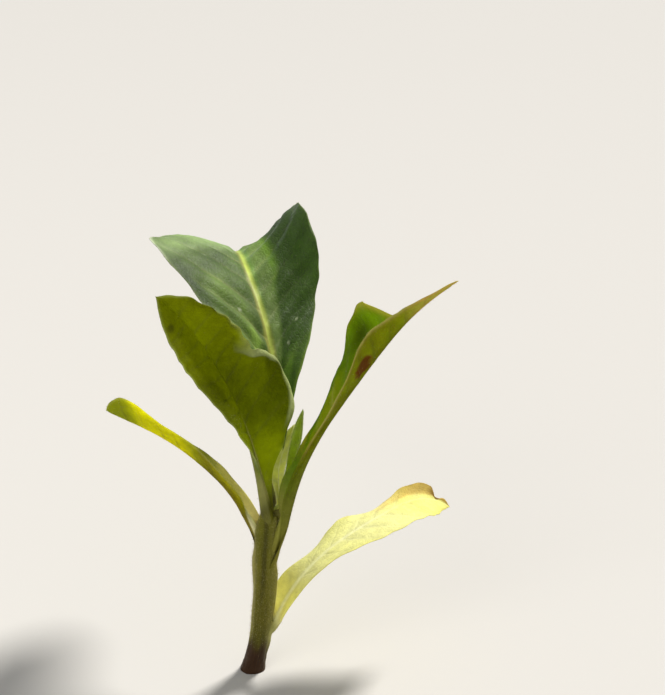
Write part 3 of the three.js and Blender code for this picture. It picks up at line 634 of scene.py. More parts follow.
        # darker at mid length beside the rib, lighter low down
        dark = (g["side"] > 0) * np.exp(-(((g["r"] - 0.60) / 0.13) ** 2)) * (1 - smooth((g["m"] - 0.8) / 0.1))
        up, glow = up * (1 - 0.20 * dark)[..., None], glow * (1 - 0.20 * dark)[..., None]
        dark = (g["side"] < 0) * smooth((g["r"] - 0.34) / 0.06) * (1 - smooth((g["r"] - 0.55) / 0.12)) * smooth((g["m"] - 0.3) / 0.2)
        up, glow = up * (1 - 0.24 * dark)[..., None], glow * (1 - 0.24 * dark)[..., None]
        light = (g["side"] > 0) * (1 - smooth((g["r"] - 0.27) / 0.08))
        up, glow = up * (1 + 0.45 * light)[..., None], glow * (1 + 0.25 * light)[..., None]
        outer = (g["side"] < 0) * (1 - smooth((g["at"] - 0.20) / 0.18))
        up = blend(up, lin((136, 134, 70)), 0.6 * outer)
        thin = thin * (1 - 0.5 * outer)
    if name == "low":
        thin = thin * (2.35 - 1.60 * smooth((g["at"] - 0.15) / 0.14))
        up = blend(up, up * np.array([1.03, 1.03, 0.92]), 1 - smooth((g["r"] - 0.40) / 0.1))
        warm = smooth((g["r"] - 0.62) / 0.16)
        up, lo = blend(up, up * np.array([0.96, 0.94, 0.66]), warm), blend(lo, lo * np.array([0.96, 0.94, 0.66]), warm)
        # painted shade on the raised far half towards the tip
        fold = smooth((g["r"] - 0.56) / 0.1) * smooth((-g["u"] - 0.28) / 0.2)
        up, lo = blend(up, up * np.array([0.92, 0.78, 0.68]), fold), blend(lo, lo * np.array([0.92, 0.78, 0.68]), fold)
    if name == "right":
        # painted highlight along the margin, broader on this leaf
        rim_highlight_r = np.exp(-((edge_mm / 0.9) ** 2)) * smooth((g["at"] - 0.30) / 0.1)
        up = blend(up, lin((206, 196, 50)), 0.75 * rim_highlight_r)
        lo = blend(lo, lin((170, 158, 84)), 0.45 * rim_highlight_r)
        tan = smooth((g["r"] - 0.79) / 0.12)
        lo = blend(lo, lin((212, 162, 88)), tan)
        # the far half: dark inside the lobe, lighter beside the rib
        far = g["side"] < 0
        inside = far * np.exp(-(((g["r"] - 0.635) / 0.045) ** 2)) * np.exp(-(((g["m"] - 0.68) / 0.2) ** 2))
        beside = far * (1 - smooth((g["r"] - 0.50) / 0.08)) * smooth((g["r"] - 0.2) / 0.1) * (1 - smooth((g["m"] - 0.4) / 0.2))
        up, glow = up * (1 - 0.42 * inside)[..., None], glow * (1 - 0.42 * inside)[..., None]
        up = blend(up, up * np.array([2.0, 1.6, 2.0]), beside)
        glow = blend(glow, glow * np.array([1.5, 1.15, 1.5]), beside)
        thin = thin * (1 - 0.5 * rim_highlight_r)
    if name == "left":
        # painted light: the half away from the viewer is painted as a lit, pale cream band above the stalk
        lit_strip = (g["side"] > 0) * (1 - smooth((g["r"] - 0.34) / 0.10))
        up = blend(up, lin((246, 230, 128)), 0.8 * lit_strip)
        thin = thin * (1 - 0.88 * lit_strip)
        # yellow along the outer half, brownish olive from there down to the stalk
        s = g["r"]
        bright = smooth((s - 0.46) / 0.12) * (1 - smooth((s - 0.75) / 0.11))
        dull = 1 - smooth((s - 0.42) / 0.08)
        for c in (lo, glow):
            c[:] = blend(c, c * np.array([1.75, 1.62, 0.6]), bright)
            c[:] = blend(c, c * np.array([0.66, 0.62, 1.0]), dull * (0.4 + 0.6 * smooth((s - 0.18) / 0.1)))
        lo = blend(lo, lin((136, 120, 30)), 0.5 * g["ridge"] * (1 - smooth((g["at"] - 0.45) / 0.3)))
    # the last stretch of a stalk takes on the stem's colour, with its painted highlights and shade
    if b["split"] > 0:
        reach = {"right": 13.0, "low": 3.0, "left": 4.5}.get(name, 6.5)
        near = 1 - smooth((g["s"] * length - 0.15 * reach) / reach)
        own = stem_tint(g["mid"])
        up, lo = blend(up, own, near), blend(lo, own, near)
        thin = thin * (1 - near)
    return up, lo, glow, thin


def leaf_marks(g, up, lo, glow, thin):
    """The marks that single leaves carry, and painted shade on the low leaf's raised flap."""
    name = g["name"]
    if name == "right":
        mark = spot(g, 0.662, 3.6, 3.2, 2.9, 5)
        for c, f in ((up, 0.5), (lo, 0.85), (glow, 0.9)):
            c[:] = blend(c, lin((122, 66, 24)), f * mark)
    if name == "low":
        # painted shade: the raised far flap is painted olive where it turns away from the light
        olive = smooth((g["r"] - 0.70) / 0.12) * smooth((-g["u"] - 0.34) / 0.22)
        up[:] = blend(up, lin((214, 186, 92)), 0.85 * olive)
        lo[:] = blend(lo, lin((200, 172, 78)), 0.85 * olive)
        glow[:] = blend(glow, lin((226, 190, 60)), 0.85 * olive)
        mark = smooth((g["r"] - 0.862) / 0.045) * smooth((-g["u"] - 0.30) / 0.35) * (1 - 0.85 * smooth((g["r"] - 0.915) / 0.02))
        for c, f in ((up, 0.7), (lo, 0.75), (glow, 0.75)):
            c[:] = blend(c, lin((150, 98, 36)), f * mark)
    if name == "front":
        mark = spot(g, 0.90, -4.0, 1.0, 1.2, 7)
        for c, f in ((up, 0.35), (lo, 0.4), (glow, 0.4)):
            c[:] = blend(c, lin((44, 46, 12)), f * mark)
    if name == "back":
        for s, across, size in ((0.50, -7.5, 0.55), (0.47, 8.0, 0.45), (0.66, -12.0, 0.4), (0.41, 4.5, 0.35)):
            up[:] = blend(up, lin((206, 212, 176)), 0.8 * spot(g, s, across, size, size, 9))
    return up, lo, glow, thin


def build_leaf(name, upper_mat, under_mat):
    g = leaf_surface(name)
    look = LOOK[name]
    up, lo, glow, thin = leaf_marks(g, *leaf_colours(g))
    nr, nc = g["s"].shape
    rim_r, rim_l = [], []
    for j, rim in ((nc - 1, rim_r), (0, rim_l)):
        c = g["mid"][:, j]
        o = unit(c - g["mid"][:, 1 if j == 0 else nc - 2])
        h = g["half"][:, j][:, None]
        for f in (45, 90, 135):
            rim.append(c + h * (g["n"][:, j] * math.cos(f * RAD) + o * 1.15 * math.sin(f * RAD)))
    right = np.stack(rim_r, 1)
    left = np.stack(rim_l[::-1], 1)
    rings = np.concatenate([g["top"], right, g["low"][:, ::-1], left], 1)

    def around(a, bb):
        """A value per ring point from values above and below."""
        r = np.stack([a[:, -1], a[:, -1] * 0.5 + bb[:, -1] * 0.5, bb[:, -1]], 1)
        q = np.stack([bb[:, 0], a[:, 0] * 0.5 + bb[:, 0] * 0.5, a[:, 0]], 1)
        return np.concatenate([a, r, bb[:, ::-1], q], 1)

    k = rings.shape[1]
    upper = np.zeros(k, bool)
    upper[: nc + 1] = True
    upper[k - 2 :] = True
    verts, faces, slot_of, uv = loft(rings, upper)

    def flat_out(a):
        return np.concatenate([a.reshape(-1, a.shape[-1]), a[0].mean(0)[None], a[-1].mean(0)[None]])

    tint = flat_out(around(up, lo))
    through = flat_out(around(glow, glow))
    X = g["x"] * g["side"]
    place = np.stack([X, g["y"], np.zeros_like(X)], -1)
    under = place + np.array([0, 0, 37.0])
    place = flat_out(around(place, under))
    fine = flat_out(around((g["blade"] * (1 - g["rib_up"]))[..., None], (g["blade"] * (1 - g["ridge"]))[..., None]))[:, 0]
    share = flat_out(around(thin[..., None], thin[..., None]))[:, 0]
    ob = make_mesh(
        "leaf_" + name, verts, faces, [upper_mat, under_mat], slot_of, uv,
        {"tint": rgba(tint), "through": rgba(through), "flat": place, "fine": fine, "thin": share},
    )
    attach(ob, "root")
    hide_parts(*look["nodes"])
    return ob, g


# ---- materials -----------------------------------------------------------------------------------
class Nodes:
    """A small helper for node trees."""

    def __init__(self, name):
        self.mat = bpy.data.materials.new(name)
        self.mat.use_nodes = True
        self.t = self.mat.node_tree
        self.t.nodes.clear()
        self.out = self.t.nodes.new("ShaderNodeOutputMaterial")

    def new(self, kind, **sets):
        n = self.t.nodes.new(kind)
        for key, value in sets.items():
            setattr(n, key, value)
        return n

    def link(self, a, b):
        self.t.links.new(a, b)

    def attr(self, name):
        return self.new("ShaderNodeAttribute", attribute_name=name, attribute_type="GEOMETRY")

    def mapped(self, vector, scale):
        m = self.new("ShaderNodeMapping")
        m.inputs["Scale"].default_value = scale
        self.link(vector, m.inputs["Vector"])
        return m.outputs["Vector"]

    def noise(self, vector, scale, detail=3.0, rough=0.55):
        n = self.new("ShaderNodeTexNoise")
        n.inputs["Scale"].default_value = scale
        n.inputs["Detail"].default_value = detail
        n.inputs["Roughness"].default_value = rough
        self.link(vector, n.inputs["Vector"])
        return n.outputs["Fac"]

    def cells(self, vector, scale):
        n = self.new("ShaderNodeTexVoronoi", feature="DISTANCE_TO_EDGE")
        n.inputs["Scale"].default_value = scale
        self.link(vector, n.inputs["Vector"])
        return n.outputs["Distance"]

    def remap(self, value, a, b, c, d):
        n = self.new("ShaderNodeMapRange")
        for i, x in enumerate((a, b, c, d)):
            n.inputs[i + 1].default_value = x
        self.link(value, n.inputs[0])
        return n.outputs[0]

    def math(self, op, a, b):
        n = self.new("ShaderNodeMath", operation=op)
        for i, x in enumerate((a, b)):
            if isinstance(x, (int, float)):
                n.inputs[i].default_value = x
            else:
                self.link(x, n.inputs[i])
        return n.outputs[0]

    def scaled(self, colour, value):
        """colour times a grey value."""
        n = self.new("ShaderNodeVectorMath", operation="SCALE")
        self.link(colour, n.inputs[0])
        self.link(value, n.inputs["Scale"])
        return n.outputs[0]

    def mixed(self, fac, a, b):
        n = self.new("ShaderNodeMix", data_type="RGBA")
        self.link(fac, n.inputs["Factor"])
        self.link(a, n.inputs[6])
        if isinstance(b, tuple):
            n.inputs[7].default_value = (*b, 1)
        else:
            self.link(b, n.inputs[7])
        return n.outputs[2]

    def bump(self, height, strength, distance, normal=None):
        n = self.new("ShaderNodeBump")
        n.inputs["Strength"].default_value = strength
        n.inputs["Distance"].default_value = distance
        self.link(height, n.inputs["Height"])
        if normal is not None:
            self.link(normal, n.inputs["Normal"])
        return n.outputs["Normal"]


def leaf_material(name, rough, specular, sheen, net, soft=(0.9, 0.95, 0.8)):
    """A blade's face: mottled, netted with the finest veins, a little hairy, and lit through."""
    k = Nodes(name)
    flat = k.attr("flat").outputs["Vector"]
    fine = k.attr("fine").outputs["Fac"]
    mottle = k.noise(flat, 0.55, 4.0, 0.6)
    grain = k.noise(flat, 5.5, 3.0, 0.6)
    net_near = k.cells(k.mapped(flat, (1.0, 0.8, 1.0)), 1.05)
    net_fine = k.cells(k.mapped(flat, (1.0, 1.0, 1.0)), 3.1)
    lines = k.remap(net_near, 0.0, 0.10, 1.0, 0.0)
    small = k.remap(net_fine, 0.0, 0.12, 1.0, 0.0)
    shade = k.math("ADD", k.remap(mottle, 0.3, 0.7, 0.88, 1.10), k.remap(grain, 0.3, 0.7, -0.05, 0.05))
    veined = k.math("MULTIPLY", k.math("ADD", k.math("MULTIPLY", lines, net), k.math("MULTIPLY", small, net * 0.4)), fine)
    tint = k.scaled(k.attr("tint").outputs["Color"], k.math("ADD", shade, veined))
    glow = k.scaled(k.attr("through").outputs["Color"], k.math("SUBTRACT", shade, k.math("MULTIPLY", veined, 1.4)))

    height = k.math("ADD", k.math("MULTIPLY", k.remap(net_near, 0.0, 0.16, 0.0, 1.0), 0.7), k.math("MULTIPLY", k.remap(net_fine, 0.0, 0.2, 0.0, 1.0), 0.3))
    height = k.math("MULTIPLY", height, fine)
    n1 = k.bump(height, 0.55, 0.00012)
    n2 = k.bump(grain, 0.35, 0.00010, n1)

    p = k.new("ShaderNodeBsdfPrincipled")
    k.link(tint, p.inputs["Base Color"])
    k.link(k.remap(grain, 0.3, 0.7, rough - 0.06, rough + 0.08), p.inputs["Roughness"])
    p.inputs["Specular IOR Level"].default_value = specular
    p.inputs["Sheen Weight"].default_value = sheen
    p.inputs["Sheen Roughness"].default_value = 0.45
    p.inputs["Sheen Tint"].default_value = (*soft, 1)
    k.link(n2, p.inputs["Normal"])
    tr = k.new("ShaderNodeBsdfTranslucent")
    k.link(glow, tr.inputs["Color"])
    k.link(n2, tr.inputs["Normal"])
    mix = k.new("ShaderNodeMixShader")
    k.link(k.attr("thin").outputs["Fac"], mix.inputs[0])
    k.link(p.outputs[0], mix.inputs[1])
    k.link(tr.outputs[0], mix.inputs[2])
    k.link(mix.outputs[0], k.out.inputs["Surface"])
    return k.mat


def stem_material(name):
    k = Nodes(name)
    flat = k.attr("flat").outputs["Vector"]
    mottle = k.noise(flat, 0.45, 4.0, 0.6)
    streak = k.noise(k.mapped(flat, (2.6, 0.16, 1.0)), 1.0, 4.0, 0.6)
    grain = k.noise(flat, 4.0, 3.0, 0.6)
    shade = k.math("ADD", k.remap(mottle, 0.3, 0.7, 0.86, 1.10), k.remap(streak, 0.3, 0.7, -0.14, 0.14))
    tint = k.scaled(k.attr("tint").outputs["Color"], shade)
    n1 = k.bump(streak, 0.5, 0.00025)
    n2 = k.bump(grain, 0.45, 0.00012, n1)
    p = k.new("ShaderNodeBsdfPrincipled")
    k.link(tint, p.inputs["Base Color"])
    k.link(k.remap(grain, 0.3, 0.7, 0.50, 0.66), p.inputs["Roughness"])
    p.inputs["Specular IOR Level"].default_value = 0.12
    p.inputs["Sheen Weight"].default_value = 0.05
    p.inputs["Sheen Roughness"].default_value = 0.5
    p.inputs["Sheen Tint"].default_value = (0.95, 0.95, 0.78, 1)
    k.link(n2, p.inputs["Normal"])
    k.link(p.outputs[0], k.out.inputs["Surface"])
    return k.mat


def hair_material(name, colour, through):
    k = Nodes(name)
    p = k.new("ShaderNodeBsdfPrincipled")
    c = k.new("ShaderNodeTexCoord").outputs["Object"]
    vary = k.remap(k.noise(c, 900.0, 2.0), 0.3, 0.7, 0.85, 1.12)
    base = k.new("ShaderNodeRGB")
    base.outputs[0].default_value = (*lin(colour), 1)
    k.link(k.scaled(base.outputs[0], vary), p.inputs["Base Color"])
    p.inputs["Roughness"].default_value = 0.5
    p.inputs["Specular IOR Level"].default_value = 0.4
    tr = k.new("ShaderNodeBsdfTranslucent")
    tr.inputs["Color"].default_value = (*lin(colour), 1)
    mix = k.new("ShaderNodeMixShader")
    mix.inputs[0].default_value = through
    k.link(p.outputs[0], mix.inputs[1])
    k.link(tr.outputs[0], mix.inputs[2])
    k.link(mix.outputs[0], k.out.inputs["Surface"])
    return k.mat


# ---- the stem ------------------------------------------------------------------------------------
# Where each stalk's ridge runs down the stem: its direction round the stem in degrees, from which height
# it leaves the stem, how far it can be followed down, and its radius.
RIDGES = {
    "front": {"turn": 236, "fade": 18, "radius": 1.35},
    "back": {"turn": 60, "fade": 14, "radius": 1.25},
    "left": {"turn": 190, "fade": 12, "radius": 1.2},
    "right": {"turn": 333, "fade": 20, "radius": 1.5},
    "low": {"turn": 352, "fade": 8, "radius": 1.0},
    "bud_a": {"turn": 25, "fade": 8, "radius": 0.7},
    "bud_b": {"turn": 10, "fade": 8, "radius": 0.65},
}
# the gussets between neighbouring stalks: up to which height, and how thick
WEBS = [("front", "right", 45.4, 1.15), ("front", "left", 41.8, 1.0), ("right", "bud_a", 46.0, 1.0), ("back", "left", 43.0, 1.0), ("back", "right", 45.5, 1.1)]
SKIN_FROM, SKIN_TOP = 39.5, 47.0


def skin_radius(z):
    """The stem's own radius; it closes among the stalks at the fork."""
    r = curve(STEM["radius"], z / STEM["height"]) + STEM["flare"] * np.exp(-z / STEM["reach"]) - 0.06
    k = np.clip((z - SKIN_FROM) / (SKIN_TOP - SKIN_FROM), 0, 1)
    return r + (0.8 - r) * k


def ridge_line(name, z):
    """The middle of a stalk's section at heights z, and its radius; below its base it sinks into the stem."""
    leaf, b, ridge = LEAVES[name], BUILD[name], RIDGES[name]
    s = np.linspace(-1, 0.5, 500)
    fr = along(midrib(leaf), s)
    flesh = 1 + LOOK[name]["flesh"]
    rib, core = rib_at(b, s) * flesh, core_at(b, s) * flesh
    inward = 0.5 * (0.62 * core - rib) + b["keel"] * rib
    line = middle_line(b, leaf["length"], fr, s) + fr["N"] * inward[:, None]
    order = np.argsort(line[:, 2])
    x, y = (np.interp(z, line[order, 2], line[order, i]) for i in (0, 1))
    x = x - stem_x(z)
    base_z = leaf["base"][2]
    low = smooth((base_z + 2 - z) / 6)
    r = ridge["radius"] * (1 - smooth((z - base_z + 1) / 8)) ** 0.6
    r = r * smooth((z - (base_z - ridge["fade"])) / (0.6 * ridge["fade"])) ** 0.6
    out = skin_radius(np.minimum(z, SKIN_FROM)) - 0.55 * r
    a = ridge["turn"] * RAD
    x = x * (1 - low) + out * math.cos(a) * low
    y = y * (1 - low) + out * math.sin(a) * low
    return np.stack([x + stem_x(z), y, z], 1), np.maximum(r, 0.01)


def stalk_balls():
    """Balls along each stalk's lowest stretch and the ridge below it, which the stem's skin swells round."""
    sets = []
    for name, ridge in RIDGES.items():
        base_z = LEAVES[name]["base"][2]
        sets.append(ridge_line(name, np.arange(base_z - ridge["fade"], base_z + 7, 0.3)))
    for one, two, top, radius in WEBS:
        z = np.arange(top - 12, top, 0.3)
        (a, _), (c, _) = ridge_line(one, z), ridge_line(two, z)
        hub = np.stack([stem_x(z), 0 * z, z], 1)
        mid = hub + 0.92 * ((a + c) / 2 - hub)
        sets.append((mid, radius * smooth((top - z) / 4) ** 0.6 * smooth((z - top + 12) / 5) + 0.01))
    return sets


def build_stem(mat):
    nz, na = 250, 112
    z = SKIN_TOP * np.linspace(0, 1, nz) ** 1.04
    a = np.linspace(0, 2 * math.pi, na, endpoint=False)
    Z, A = np.meshgrid(z, a, indexing="ij")
    D = np.stack([np.cos(A), np.sin(A), 0 * A], -1)
    X0 = np.stack([stem_x(Z), 0 * Z, Z], -1)
    R = skin_radius(Z)
    # fine ribs run lengthwise, and the surface is uneven
    turn = A + 0.006 * Z
    ribs = 0.055 * np.cos(9 * turn + 0.6 + 0.8 * noise(0, 0, Z / 9, 105)) + 0.035 * np.cos(15 * turn + 1.9 + 0.02 * Z)
    ribs = ribs * smooth((Z - 1.5) / 8) * (1 - 0.6 * smooth((Z - 36) / 6))
    cx, cy = np.cos(A) * 2.6, np.sin(A) * 2.6
    rough = 0.10 * fractal(cx / 1.6, cy / 1.6, Z / 5.5, 101, 3) + 0.04 * fractal(cx / 0.7, cy / 0.7, Z / 2.6, 103, 2)
    foot = 0.20 * fractal(cx / 1.3, cy / 1.3, Z / 1.5, 107, 3) * (1 - smooth((Z - 3) / 5))
    sets = stalk_balls()
    steps = np.linspace(-0.3, 5.7, 61)
    out = np.zeros_like(R)
    k = 0.45
    for i in range(0, nz, 10):
        j = slice(i, min(i + 10, nz))
        t = R[j][..., None] + steps
        pts = X0[j][..., None, :] + D[j][..., None, :] * t[..., None]
        f = t - R[j][..., None]
        for centres, radii in sets:
            close = np.abs(centres[:, 2] - z[j].mean()) < 3.2
            if not close.any():
                continue
            dist = np.full(t.shape, 50.0)
            for c, r in zip(centres[close], radii[close]):
                dist = np.minimum(dist, np.sqrt(((pts - c) ** 2).sum(-1)) - r)
            h = np.clip(0.5 + 0.5 * (dist - f) / k, 0, 1)
            f = dist * (1 - h) + f * h - k * h * (1 - h)
        outside = f > 0
        first = np.argmax(outside, -1)
        first = np.where(outside.any(-1), np.maximum(first, 1), 1)
        f1 = np.take_along_axis(f, first[..., None], -1)[..., 0]
        f0 = np.take_along_axis(f, first[..., None] - 1, -1)[..., 0]
        g = np.clip(f0 / np.where(np.abs(f0 - f1) < 1e-9, 1, f0 - f1), 0, 1)
        out[j] = R[j] + steps[first - 1] + (steps[first] - steps[first - 1]) * g
    # a little smoothing where the skin turns onto a stalk
    for _ in range(4):
        out = 0.5 * out + 0.125 * (np.roll(out, 1, 1) + np.roll(out, -1, 1)) + 0.125 * (
            np.concatenate([out[:1], out[:-1]]) + np.concatenate([out[1:], out[-1:]])
        )
    out = out + ribs + rough + foot
    rings = X0 + D * out[..., None]
    # a rounded end above the last ring
    caps = []
    top = rings[-1]
    c = top.mean(0)
    for f in (25, 50, 72):
        caps.append(c + (top - c) * math.cos(f * RAD) + np.array([0, 0, 0.8 * math.sin(f * RAD)]))
    rings = np.concatenate([rings, np.stack(caps)])
    verts, faces, slot_of, uv = loft(rings, np.ones(na, bool))
    wrap = lambda v: np.concatenate([v.reshape(-1, v.shape[-1]), v[0].mean(0)[None], v[-1].mean(0)[None]])
    Zf, Af = np.concatenate([Z, np.repeat(Z[-1:], 3, 0)]), np.concatenate([A, np.repeat(A[-1:], 3, 0)])
    round_ = np.stack([np.cos(Af) * 2.8, Zf, np.sin(Af) * 2.8], -1)
    ob = make_mesh("stem_skin", verts, faces, [mat, mat], slot_of, uv, {"tint": rgba(wrap(stem_tint(rings))), "flat": wrap(round_)})
    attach(ob, "root")
    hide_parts("stem")
    normals = grid_normals(rings)
    out_way = rings - np.concatenate([X0, np.repeat(X0[-1:], 3, 0)])
    normals = normals * np.sign((normals * out_way).sum(-1))[..., None]
    return ob, rings, normals


# ---- hairs ---------------------------------------------------------------------------------------
def needles(points, ways, lengths, widths, bend, rng):
    """Thin three-sided hairs that curve a little, joined into one mesh's arrays."""
    n = len(points)
    ways = unit(ways)
    side = unit(np.cross(ways, rng.normal(size=(n, 3))))
    other = np.cross(ways, side)
    lean = unit(rng.normal(size=(n, 3)) + np.array([0, 0, -0.4]))
    base = points - ways * 0.04
    middle = base + ways * (lengths * 0.55)[:, None] + lean * (bend * lengths * 0.05)[:, None]
    end = base + ways * lengths[:, None] + lean * (bend * lengths * 0.22)[:, None]
    verts = np.zeros((n, 7, 3))
    for i in range(3):
        a = 2 * math.pi * i / 3
        o = side * math.cos(a) + other * math.sin(a)
        verts[:, i] = base + o * widths[:, None]
        verts[:, 3 + i] = middle + o * (widths * 0.62)[:, None]
    verts[:, 6] = end
    k = np.arange(n)[:, None] * 7
    quads = np.concatenate([k + np.array([[i, (i + 1) % 3, 3 + (i + 1) % 3, 3 + i]]) for i in range(3)])
    tris = np.concatenate([k + np.array([[3 + i, 3 + (i + 1) % 3, 6]]) for i in range(3)])
    return verts.reshape(-1, 3), quads, tris


def pick_on(grid, normals, weights, count, rng):
    """Random points on a grid of points, with their normals, by weight."""
    nr, nc = grid.shape[:2]
    e = np.linalg.norm(np.cross(grid[1:, :-1] - grid[:-1, :-1], grid[:-1, 1:] - grid[:-1, :-1]), axis=-1)
    p = (e * weights[:-1, :-1]).ravel()
    p = p / p.sum()
    cell = rng.choice(len(p), size=count, p=p)
    i, j = np.divmod(cell, nc - 1)
    f, g = rng.random(count)[:, None], rng.random(count)[:, None]
    mixed = lambda v: (
        v[i, j] * (1 - f) * (1 - g) + v[i + 1, j] * f * (1 - g) + v[i, j + 1] * (1 - f) * g + v[i + 1, j + 1] * f * g
    )
    return mixed(grid), unit(mixed(normals)), i, j


def add_hairs(name, parts, mats):
    """parts: a list of (points, ways, lengths, widths, bend). Several materials are dealt out at random."""
    rng = np.random.default_rng(len(name) * 7 + 3)
    verts, quads, tris, base, shade = [], [], [], 0, []
    for points, ways, lengths, widths, bend in parts:
        v, q, t = needles(points, ways, lengths, widths, bend, rng)
        verts.append(v)
        quads.append(q + base)
        tris.append(t + base)
        base += len(v)
        shade.append(np.tile(rng.integers(0, len(mats), len(points)), 3))
    faces = [np.concatenate(quads), np.concatenate(tris)]
    dealt = np.concatenate(shade)
    ob = make_mesh(name, np.concatenate(verts), faces, mats, [dealt, dealt])
    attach(ob, "root")
    return ob


# ---- make everything -----------------------------------------------------------------------------
MATS = {
    "front": (leaf_material("front_upper", 0.62, 0.05, 0.0, 0.06), leaf_material("front_under", 0.60, 0.25, 0.12, 0.10)),
    "back": (leaf_material("back_upper", 0.50, 0.34, 0.20, 0.10, (0.86, 0.95, 0.90)), leaf_material("back_under", 0.60, 0.25, 0.15, 0.10)),
    "left": (leaf_material("left_upper", 0.55, 0.30, 0.12, 0.06), leaf_material("left_under", 0.62, 0.08, 0.0, 0.06)),
    "right": (leaf_material("right_upper", 0.56, 0.06, 0.0, 0.08), leaf_material("right_under", 0.64, 0.02, 0.0, 0.05)),
    "low": (leaf_material("low_upper", 0.58, 0.25, 0.06, 0.012), leaf_material("low_under", 0.60, 0.20, 0.06, 0.02)),
    "bud_a": (leaf_material("bud_pale_upper", 0.58, 0.25, 0.15, 0.03), leaf_material("bud_pale_under", 0.60, 0.20, 0.15, 0.03)),
    "bud_b": (leaf_material("bud_dark_upper", 0.58, 0.25, 0.15, 0.03), leaf_material("bud_dark_under", 0.60, 0.20, 0.15, 0.03)),
}
grids = {}
for name in LEAVES:
    _, grids[name] = build_leaf(name, *MATS[name])
stem, stem_rings, stem_normals = build_stem(stem_material("stem_bark"))

hair_pale = hair_material("hair_pale", (226, 222, 176), 0.65)
hair_warm = hair_material("hair_warm", (206, 190, 130), 0.65)
hair_green = hair_material("hair_green", (190, 198, 120), 0.65)

rng = np.random.default_rng(2024)
# the stem's hairs stand straight out
loop = np.concatenate([stem_rings, stem_rings[:, :1]], 1)
loop_n = np.concatenate([stem_normals, stem_normals[:, :1]], 1)
z = loop[..., 2]
weight = (0.12 + 0.88 * smooth((z - 7) / 8)) * smooth((z - 2.5) / 6) * (1 - 0.7 * smooth((z - 44) / 3))
P, N, _, _ = pick_on(loop, loop_n, weight, 7000, rng)
way = N + 0.35 * rng.normal(size=P.shape)
add_hairs("hairs_stem", [(P, way, rng.uniform(0.3, 0.8, len(P)), rng.uniform(0.010, 0.015, len(P)), 1.0)], [hair_pale, hair_warm])

stalk_parts, face_parts, rim_parts = [], [], []
for name, g in grids.items():
    look, b = LOOK[name], BUILD[name]
    keep = (g["s"] > 0.01) & (g["tip"] > 0.02)
    length = LEAVES[name]["length"]
    low_n, top_n = -g["n"], g["n"]
    n_low = grid_normals(g["low"])
    n_low = n_low * np.sign((n_low * low_n).sum(-1))[..., None]
    n_top = grid_normals(g["top"])
    n_top = n_top * np.sign((n_top * top_n).sum(-1))[..., None]
    # stalk and midrib, mostly below
    w = keep * (1 - 0.92 * g["blade"]) + keep * 0.55 * g["ridge"] * g["blade"]
    count = int(16 * look["hair"] * length * (b["split"] + 0.25))
    for grid, nn, share in ((g["low"], n_low, 0.62), (g["top"], n_top, 0.38)):
        P, N, _, _ = pick_on(grid, nn, w + 1e-9, int(count * share), rng)
        stalk_parts.append((P, N + 0.4 * rng.normal(size=P.shape), rng.uniform(0.3, 0.8, len(P)), rng.uniform(0.011, 0.017, len(P)), 1.0))
    # both faces of the blade
    area = length * g["w"].mean() * 1.6
    for grid, nn, dens in ((g["low"], n_low, 0.95), (g["top"], n_top, 0.75)):
        wt = keep * (0.35 * g["blade"] + 1.4 * np.clip(g["vein"], 0, 1)) + 1e-9
        few = 0.35 if name in ("front", "right", "left") else 1.0
        P, N, _, _ = pick_on(grid, nn, wt, int(dens * few * look["hair"] * area), rng)
        face_parts.append((P, N + 0.5 * rng.normal(size=P.shape), rng.uniform(0.15, 0.42, len(P)), rng.uniform(0.014, 0.022, len(P)), 1.2))
    # a fringe along the margins
    for j, step in ((0, 1), (look["cols"] - 1, -1)):
        c = g["mid"][:, j]
        o = unit(c - g["mid"][:, j + step])
        rows_ok = np.where(keep[:, j])[0]
        k = int(3.6 * length * look["hair"] ** 0.5)
        i = rng.choice(rows_ok[:-1], size=k)
        f = rng.random(k)[:, None]
        P = c[i] * (1 - f) + c[i + 1] * f
        way = o[i] + 0.45 * rng.normal(size=P.shape)
        rim_parts.append((P, way, rng.uniform(0.18, 0.6, k), rng.uniform(0.016, 0.026, k), 1.2))
add_hairs("hairs_stalks", stalk_parts, [hair_pale, hair_warm, hair_green])
add_hairs("hairs_blades", face_parts, [hair_pale, hair_green])
add_hairs("hairs_margins", rim_parts, [hair_pale, hair_warm, hair_green])


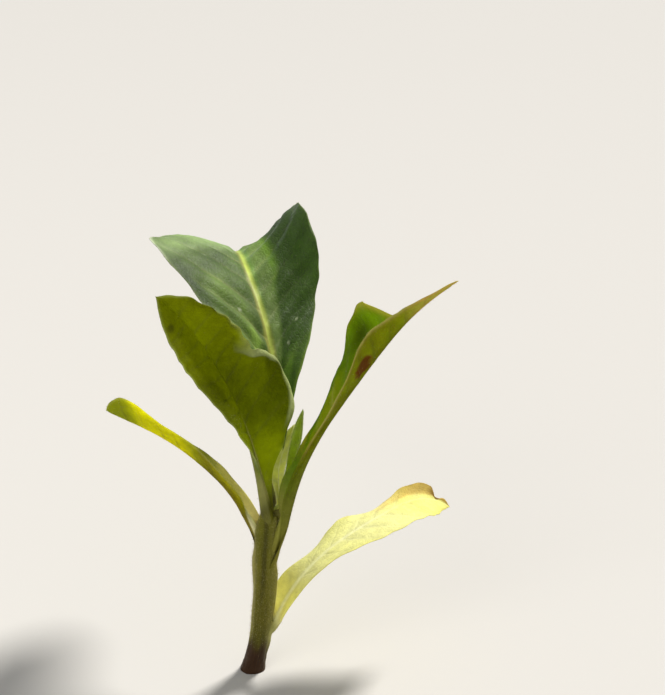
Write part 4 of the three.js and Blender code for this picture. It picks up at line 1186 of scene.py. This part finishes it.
# ---- floor, light and camera ---------------------------------------------------------------------
def floor():
    me = bpy.data.meshes.new("floor")
    me.from_pydata([(-3, -3, 0), (3, -3, 0), (3, 3, 0), (-3, 3, 0)], [], [(0, 1, 2, 3)])
    ob = bpy.data.objects.new("floor", me)
    bpy.context.scene.collection.objects.link(ob)
    m = bpy.data.materials.new("floor_plain")
    m.use_nodes = True
    p = m.node_tree.nodes["Principled BSDF"]
    p.inputs["Base Color"].default_value = (0.56, 0.545, 0.52, 1)
    p.inputs["Roughness"].default_value = 0.9
    p.inputs["Specular IOR Level"].default_value = 0.1
    me.materials.append(m)


def area(name, where, target, size, watts, colour):
    data = bpy.data.lights.new(name, "AREA")
    data.shape = "DISK"
    data.size = size
    data.energy = watts
    data.color = colour
    ob = bpy.data.objects.new(name, data)
    bpy.context.scene.collection.objects.link(ob)
    v = np.array(target) - np.array(where)
    ob.location = where
    ob.rotation_euler = Vector(v).to_track_quat("-Z", "Y").to_euler()
    return ob


def sun(name, way, strength, spread, colour):
    data = bpy.data.lights.new(name, "SUN")
    data.energy = strength
    data.angle = spread * RAD
    data.color = colour
    ob = bpy.data.objects.new(name, data)
    bpy.context.scene.collection.objects.link(ob)
    ob.location = tuple(np.array(way) * 1.0)
    ob.rotation_euler = Vector(tuple(-np.array(way))).to_track_quat("-Z", "Y").to_euler()
    return ob


floor()
middle = (0.008, 0.015, 0.05)
key_way = unit(np.array([0.43, 0.44, 0.80]))
sun("key", key_way, 4.4, 11, (1.0, 0.975, 0.93))
fill_way = unit(np.array([-0.55, -0.75, 0.55]))
area("fill", tuple(np.array(middle) + fill_way * 1.3), middle, 1.0, 4.6, (1.0, 0.98, 0.94))

world = bpy.data.worlds.new("studio")
world.use_nodes = True
world.node_tree.nodes["Background"].inputs["Color"].default_value = (0.97, 0.98, 1.0, 1)
world.node_tree.nodes["Background"].inputs["Strength"].default_value = 0.36
bpy.context.scene.world = world

cam_data = bpy.data.cameras.new("camera")
cam_data.lens = 72.52
cam_data.sensor_width = 36
cam_data.clip_start = 0.01
cam = bpy.data.objects.new("camera", cam_data)
cam.location = (0.019875, -0.294593, 0.205171)
cam.rotation_euler = (68 * RAD, 0, 0)
bpy.context.scene.collection.objects.link(cam)
bpy.context.scene.camera = cam
bpy.context.scene.view_settings.view_transform = "Standard"

bpy.context.view_layer.update()
